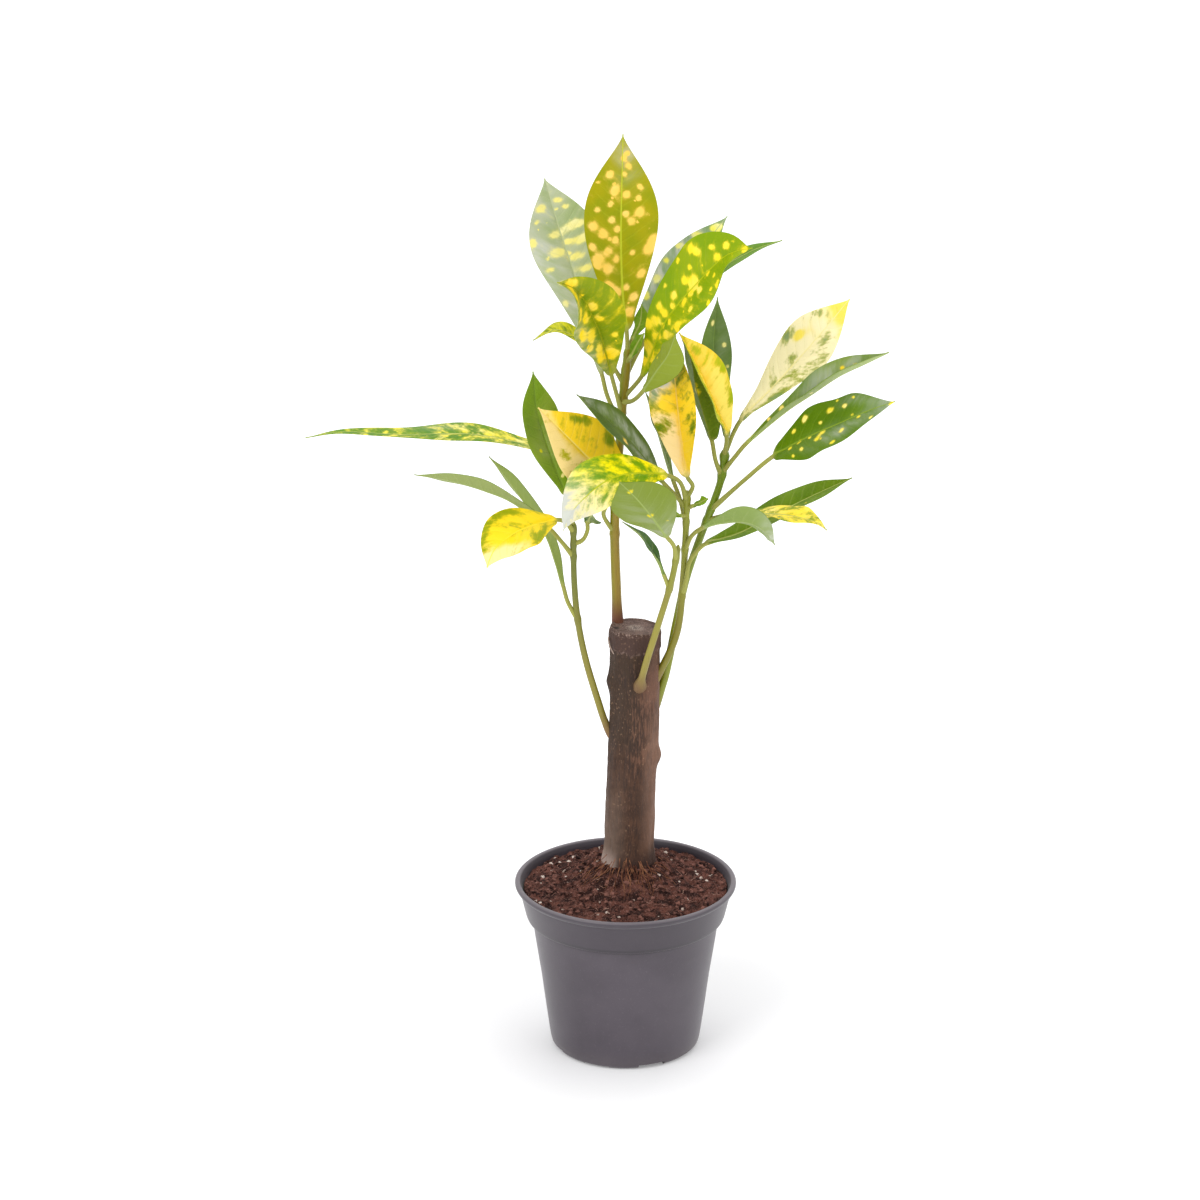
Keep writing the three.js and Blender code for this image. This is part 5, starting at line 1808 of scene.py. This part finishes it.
@dataclass(frozen=True)
class Studio:
    """The camera, the pale floor and the soft light, placed from where the pot's axis stands."""

    axis: Vector
    camera_place: Triple = (-0.01386, -2.2944, 1.0879)
    pitch: float = 19.93
    lens: float = 138
    sensor: float = 36
    sight: float = 40
    floor_size: float = 16
    floor_gap: float = 0.0002
    glow_back: float = 0.06
    aim: Triple = (0, 0, 0.3)
    sky_power: float = 0.83
    lamps: tuple[tuple[str, Triple, float, float], ...] = (
        ("key", (-1.3, -1.5, 1.9), 1.3, 23), ("fill", (1.7, -1.3, 1.2), 1.6, 9),
        ("top", (0.2, 0.9, 2.1), 1.6, 15),
    )

    def build(self) -> None:
        """Sets up everything round the plant."""
        place = self.axis + Vector(self.camera_place)
        turn = (math.radians(90 - self.pitch), 0, 0)
        camera = added(bpy.ops.object.camera_add, location=place, rotation=turn)
        camera.name = "photo_camera"
        camera.data.lens = self.lens
        camera.data.sensor_width = self.sensor
        camera.data.clip_end = self.sight
        bpy.context.scene.camera = camera
        bpy.context.scene.view_settings.view_transform = "Standard"
        plane = bpy.ops.mesh.primitive_plane_add
        floor = added(plane, size=self.floor_size, location=(0, 0, -self.floor_gap))
        floor.name = "floor"
        floor.data.materials.append(self.floor_paint())
        self.sky()
        for name, place, size, power in self.lamps:
            self.lamp(name, place, size, power)

    def floor_paint(self) -> bpy.types.Material:
        """Makes the floor's near-white, faintly uneven paint, whose glow fades in round the pot."""
        tree = Paint("floor")
        spot = tree.spot()
        right, back, _ = tree.split(spot)
        back = back - self.glow_back
        glow = tree.rise(tree.math("SQRT", right * right + back * back), 0.06, 0.3)
        return tree.finish(
            Base_Color=tree.mix(tree.noise(spot, 2.0), (0.77, 0.77, 0.78), (0.79, 0.79, 0.8)),
            Emission_Color=tree.mix(glow, (0.15, 0.15, 0.15), (0.5, 0.5, 0.5)), Emission_Strength=1.0,
            Roughness=0.9, Specular_IOR_Level=0.1,
        )

    def sky(self) -> None:
        """Surrounds the scene with even white light."""
        world = bpy.data.worlds.new("studio")
        world.use_nodes = True
        tree = Tree(world.node_tree)
        tree.fill(world.node_tree.nodes["Background"], Color=(1, 1, 1), Strength=self.sky_power)
        bpy.context.scene.world = world

    def lamp(self, name: str, place: Triple, size: float, power: float) -> None:
        """Adds a large soft lamp that faces the plant.

        Args:
            name: The lamp's name.
            place: Where it hangs from the pot's axis, in metres.
            size: Its side in metres.
            power: Its power in watts.
        """
        light = added(bpy.ops.object.light_add, type="AREA", location=self.axis + Vector(place))
        light.name = name
        light.data.size = size
        light.data.energy = power
        aim = Vector(self.aim) - Vector(place)
        light.rotation_euler = aim.to_track_quat("-Z", "Y").to_euler()


@dataclass
class Plant:
    """The whole potted plant. Its parts are built from the pot's axis and then moved to where it stands."""

    axis: Vector
    pot: Pot = field(default_factory=Pot)
    soil: Soil = field(default_factory=Soil)
    trunk: Trunk = field(default_factory=Trunk)
    stem: Stem = field(default_factory=Stem)
    foliage: Foliage = field(default_factory=Foliage)

    def keep(
        self, piece: bpy.types.Object, paint: bpy.types.Material, slot: str, node: str | None = None
    ) -> None:
        """Moves a piece to where the pot's axis stands, dresses it and hides the solid it replaces.

        Args:
            piece: The piece.
            paint: Its material.
            slot: The record's material slot; not used.
            node: The solid that it replaces, if any.
        """
        piece.data.transform(Matrix.Translation(self.axis))
        piece.data.materials.clear()
        piece.data.materials.append(paint)
        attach(piece, BODY)
        if node is not None:
            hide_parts(node)
        LOG.info("%s: %d faces", piece.name, len(piece.data.polygons))

    def build_pot(self) -> None:
        """Builds the pot and what lies in it."""
        self.keep(self.pot.build(), self.pot.dress(), "pot", "pot")
        soil = self.soil
        self.keep(soil.build(), soil.dress(), "soil", "soil")
        crumb = speckled("soil_crumb", (42, 24, 21), (128, 88, 78), 0.95)
        self.keep(soil.scatter("soil_crumbs", soil.crumbs, (0.4, 2.0), 3, 0.6), crumb, "soil")
        grain = speckled("mineral_grain", (163, 141, 130), (215, 200, 189), 0.85)
        grains = soil.scatter("mineral_grains", soil.grains, (0.4, 1.1), 5, 0.6, soil.placed_grains)
        self.keep(grains, grain, "soil")
        fibre = speckled("root_fibre", (96, 57, 43), (146, 100, 72), 0.8)
        self.keep(soil.root_fibres(), fibre, "soil")
        thread = speckled("root_thread", (112, 76, 64), (172, 134, 120), 0.85)
        self.keep(soil.root_threads(), thread, "soil")

    def build_trunk(self) -> None:
        """Builds the trunk and its peeling sliver."""
        self.keep(self.trunk.build(), self.trunk.dress(), "bark", "trunk")
        edge = speckled("bark_edge", (112, 90, 80), (172, 152, 140), 0.85)
        self.keep(self.trunk.sliver(), edge, "bark")

    def build_shoots(self) -> None:
        """Builds the shoots with a swelling at every leaf's joint, and their young leaves."""
        for name, plan in SHOOTS.items():
            joints = [leaf.joins for leaf in LEAVES.values() if leaf.shoot == name]
            piece = self.stem.build(name, plan, joints)
            self.keep(piece, self.stem.dress(name, plan), "green_stem", f"shoot_{name}")
        look = LeafLook(green=(120, 153, 37), shade=(102, 139, 28), cover=-0.4)
        young = self.foliage.dress("young", look)
        for seed, (name, plan) in enumerate(YOUNG_LEAVES.items(), 90):
            self.keep(self.foliage.build(name, plan, seed), young, "leaf_green")

    def build_leaves(self, slots: dict[str, str]) -> None:
        """Builds every leaf, and looks up the record's material slot of each solid."""
        for seed, (name, plan) in enumerate(LEAVES.items()):
            piece = self.foliage.build(f"blade_{name}", plan, seed)
            node = f"leaf_{name}"
            self.keep(piece, self.foliage.dress(name, plan), slots[node], node)


def main() -> None:
    """Builds the plant in its studio and keeps the model's sizes."""
    logging.basicConfig(level=logging.INFO, format="%(name)s: %(message)s")
    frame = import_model()
    low, high = (Vector(corner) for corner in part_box("pot"))
    axis = Vector(((low.x + high.x) / 2, (low.y + high.y) / 2, low.z))
    Studio(axis).build()
    Effects().build()
    plant = Plant(axis)
    plant.build_pot()
    plant.build_trunk()
    plant.build_shoots()
    slots = {part["node"]: part["material_slot"] for part in frame["record"]["subparts"]}
    plant.build_leaves(slots)
    deselect()


if __name__ == "__main__":
    main()
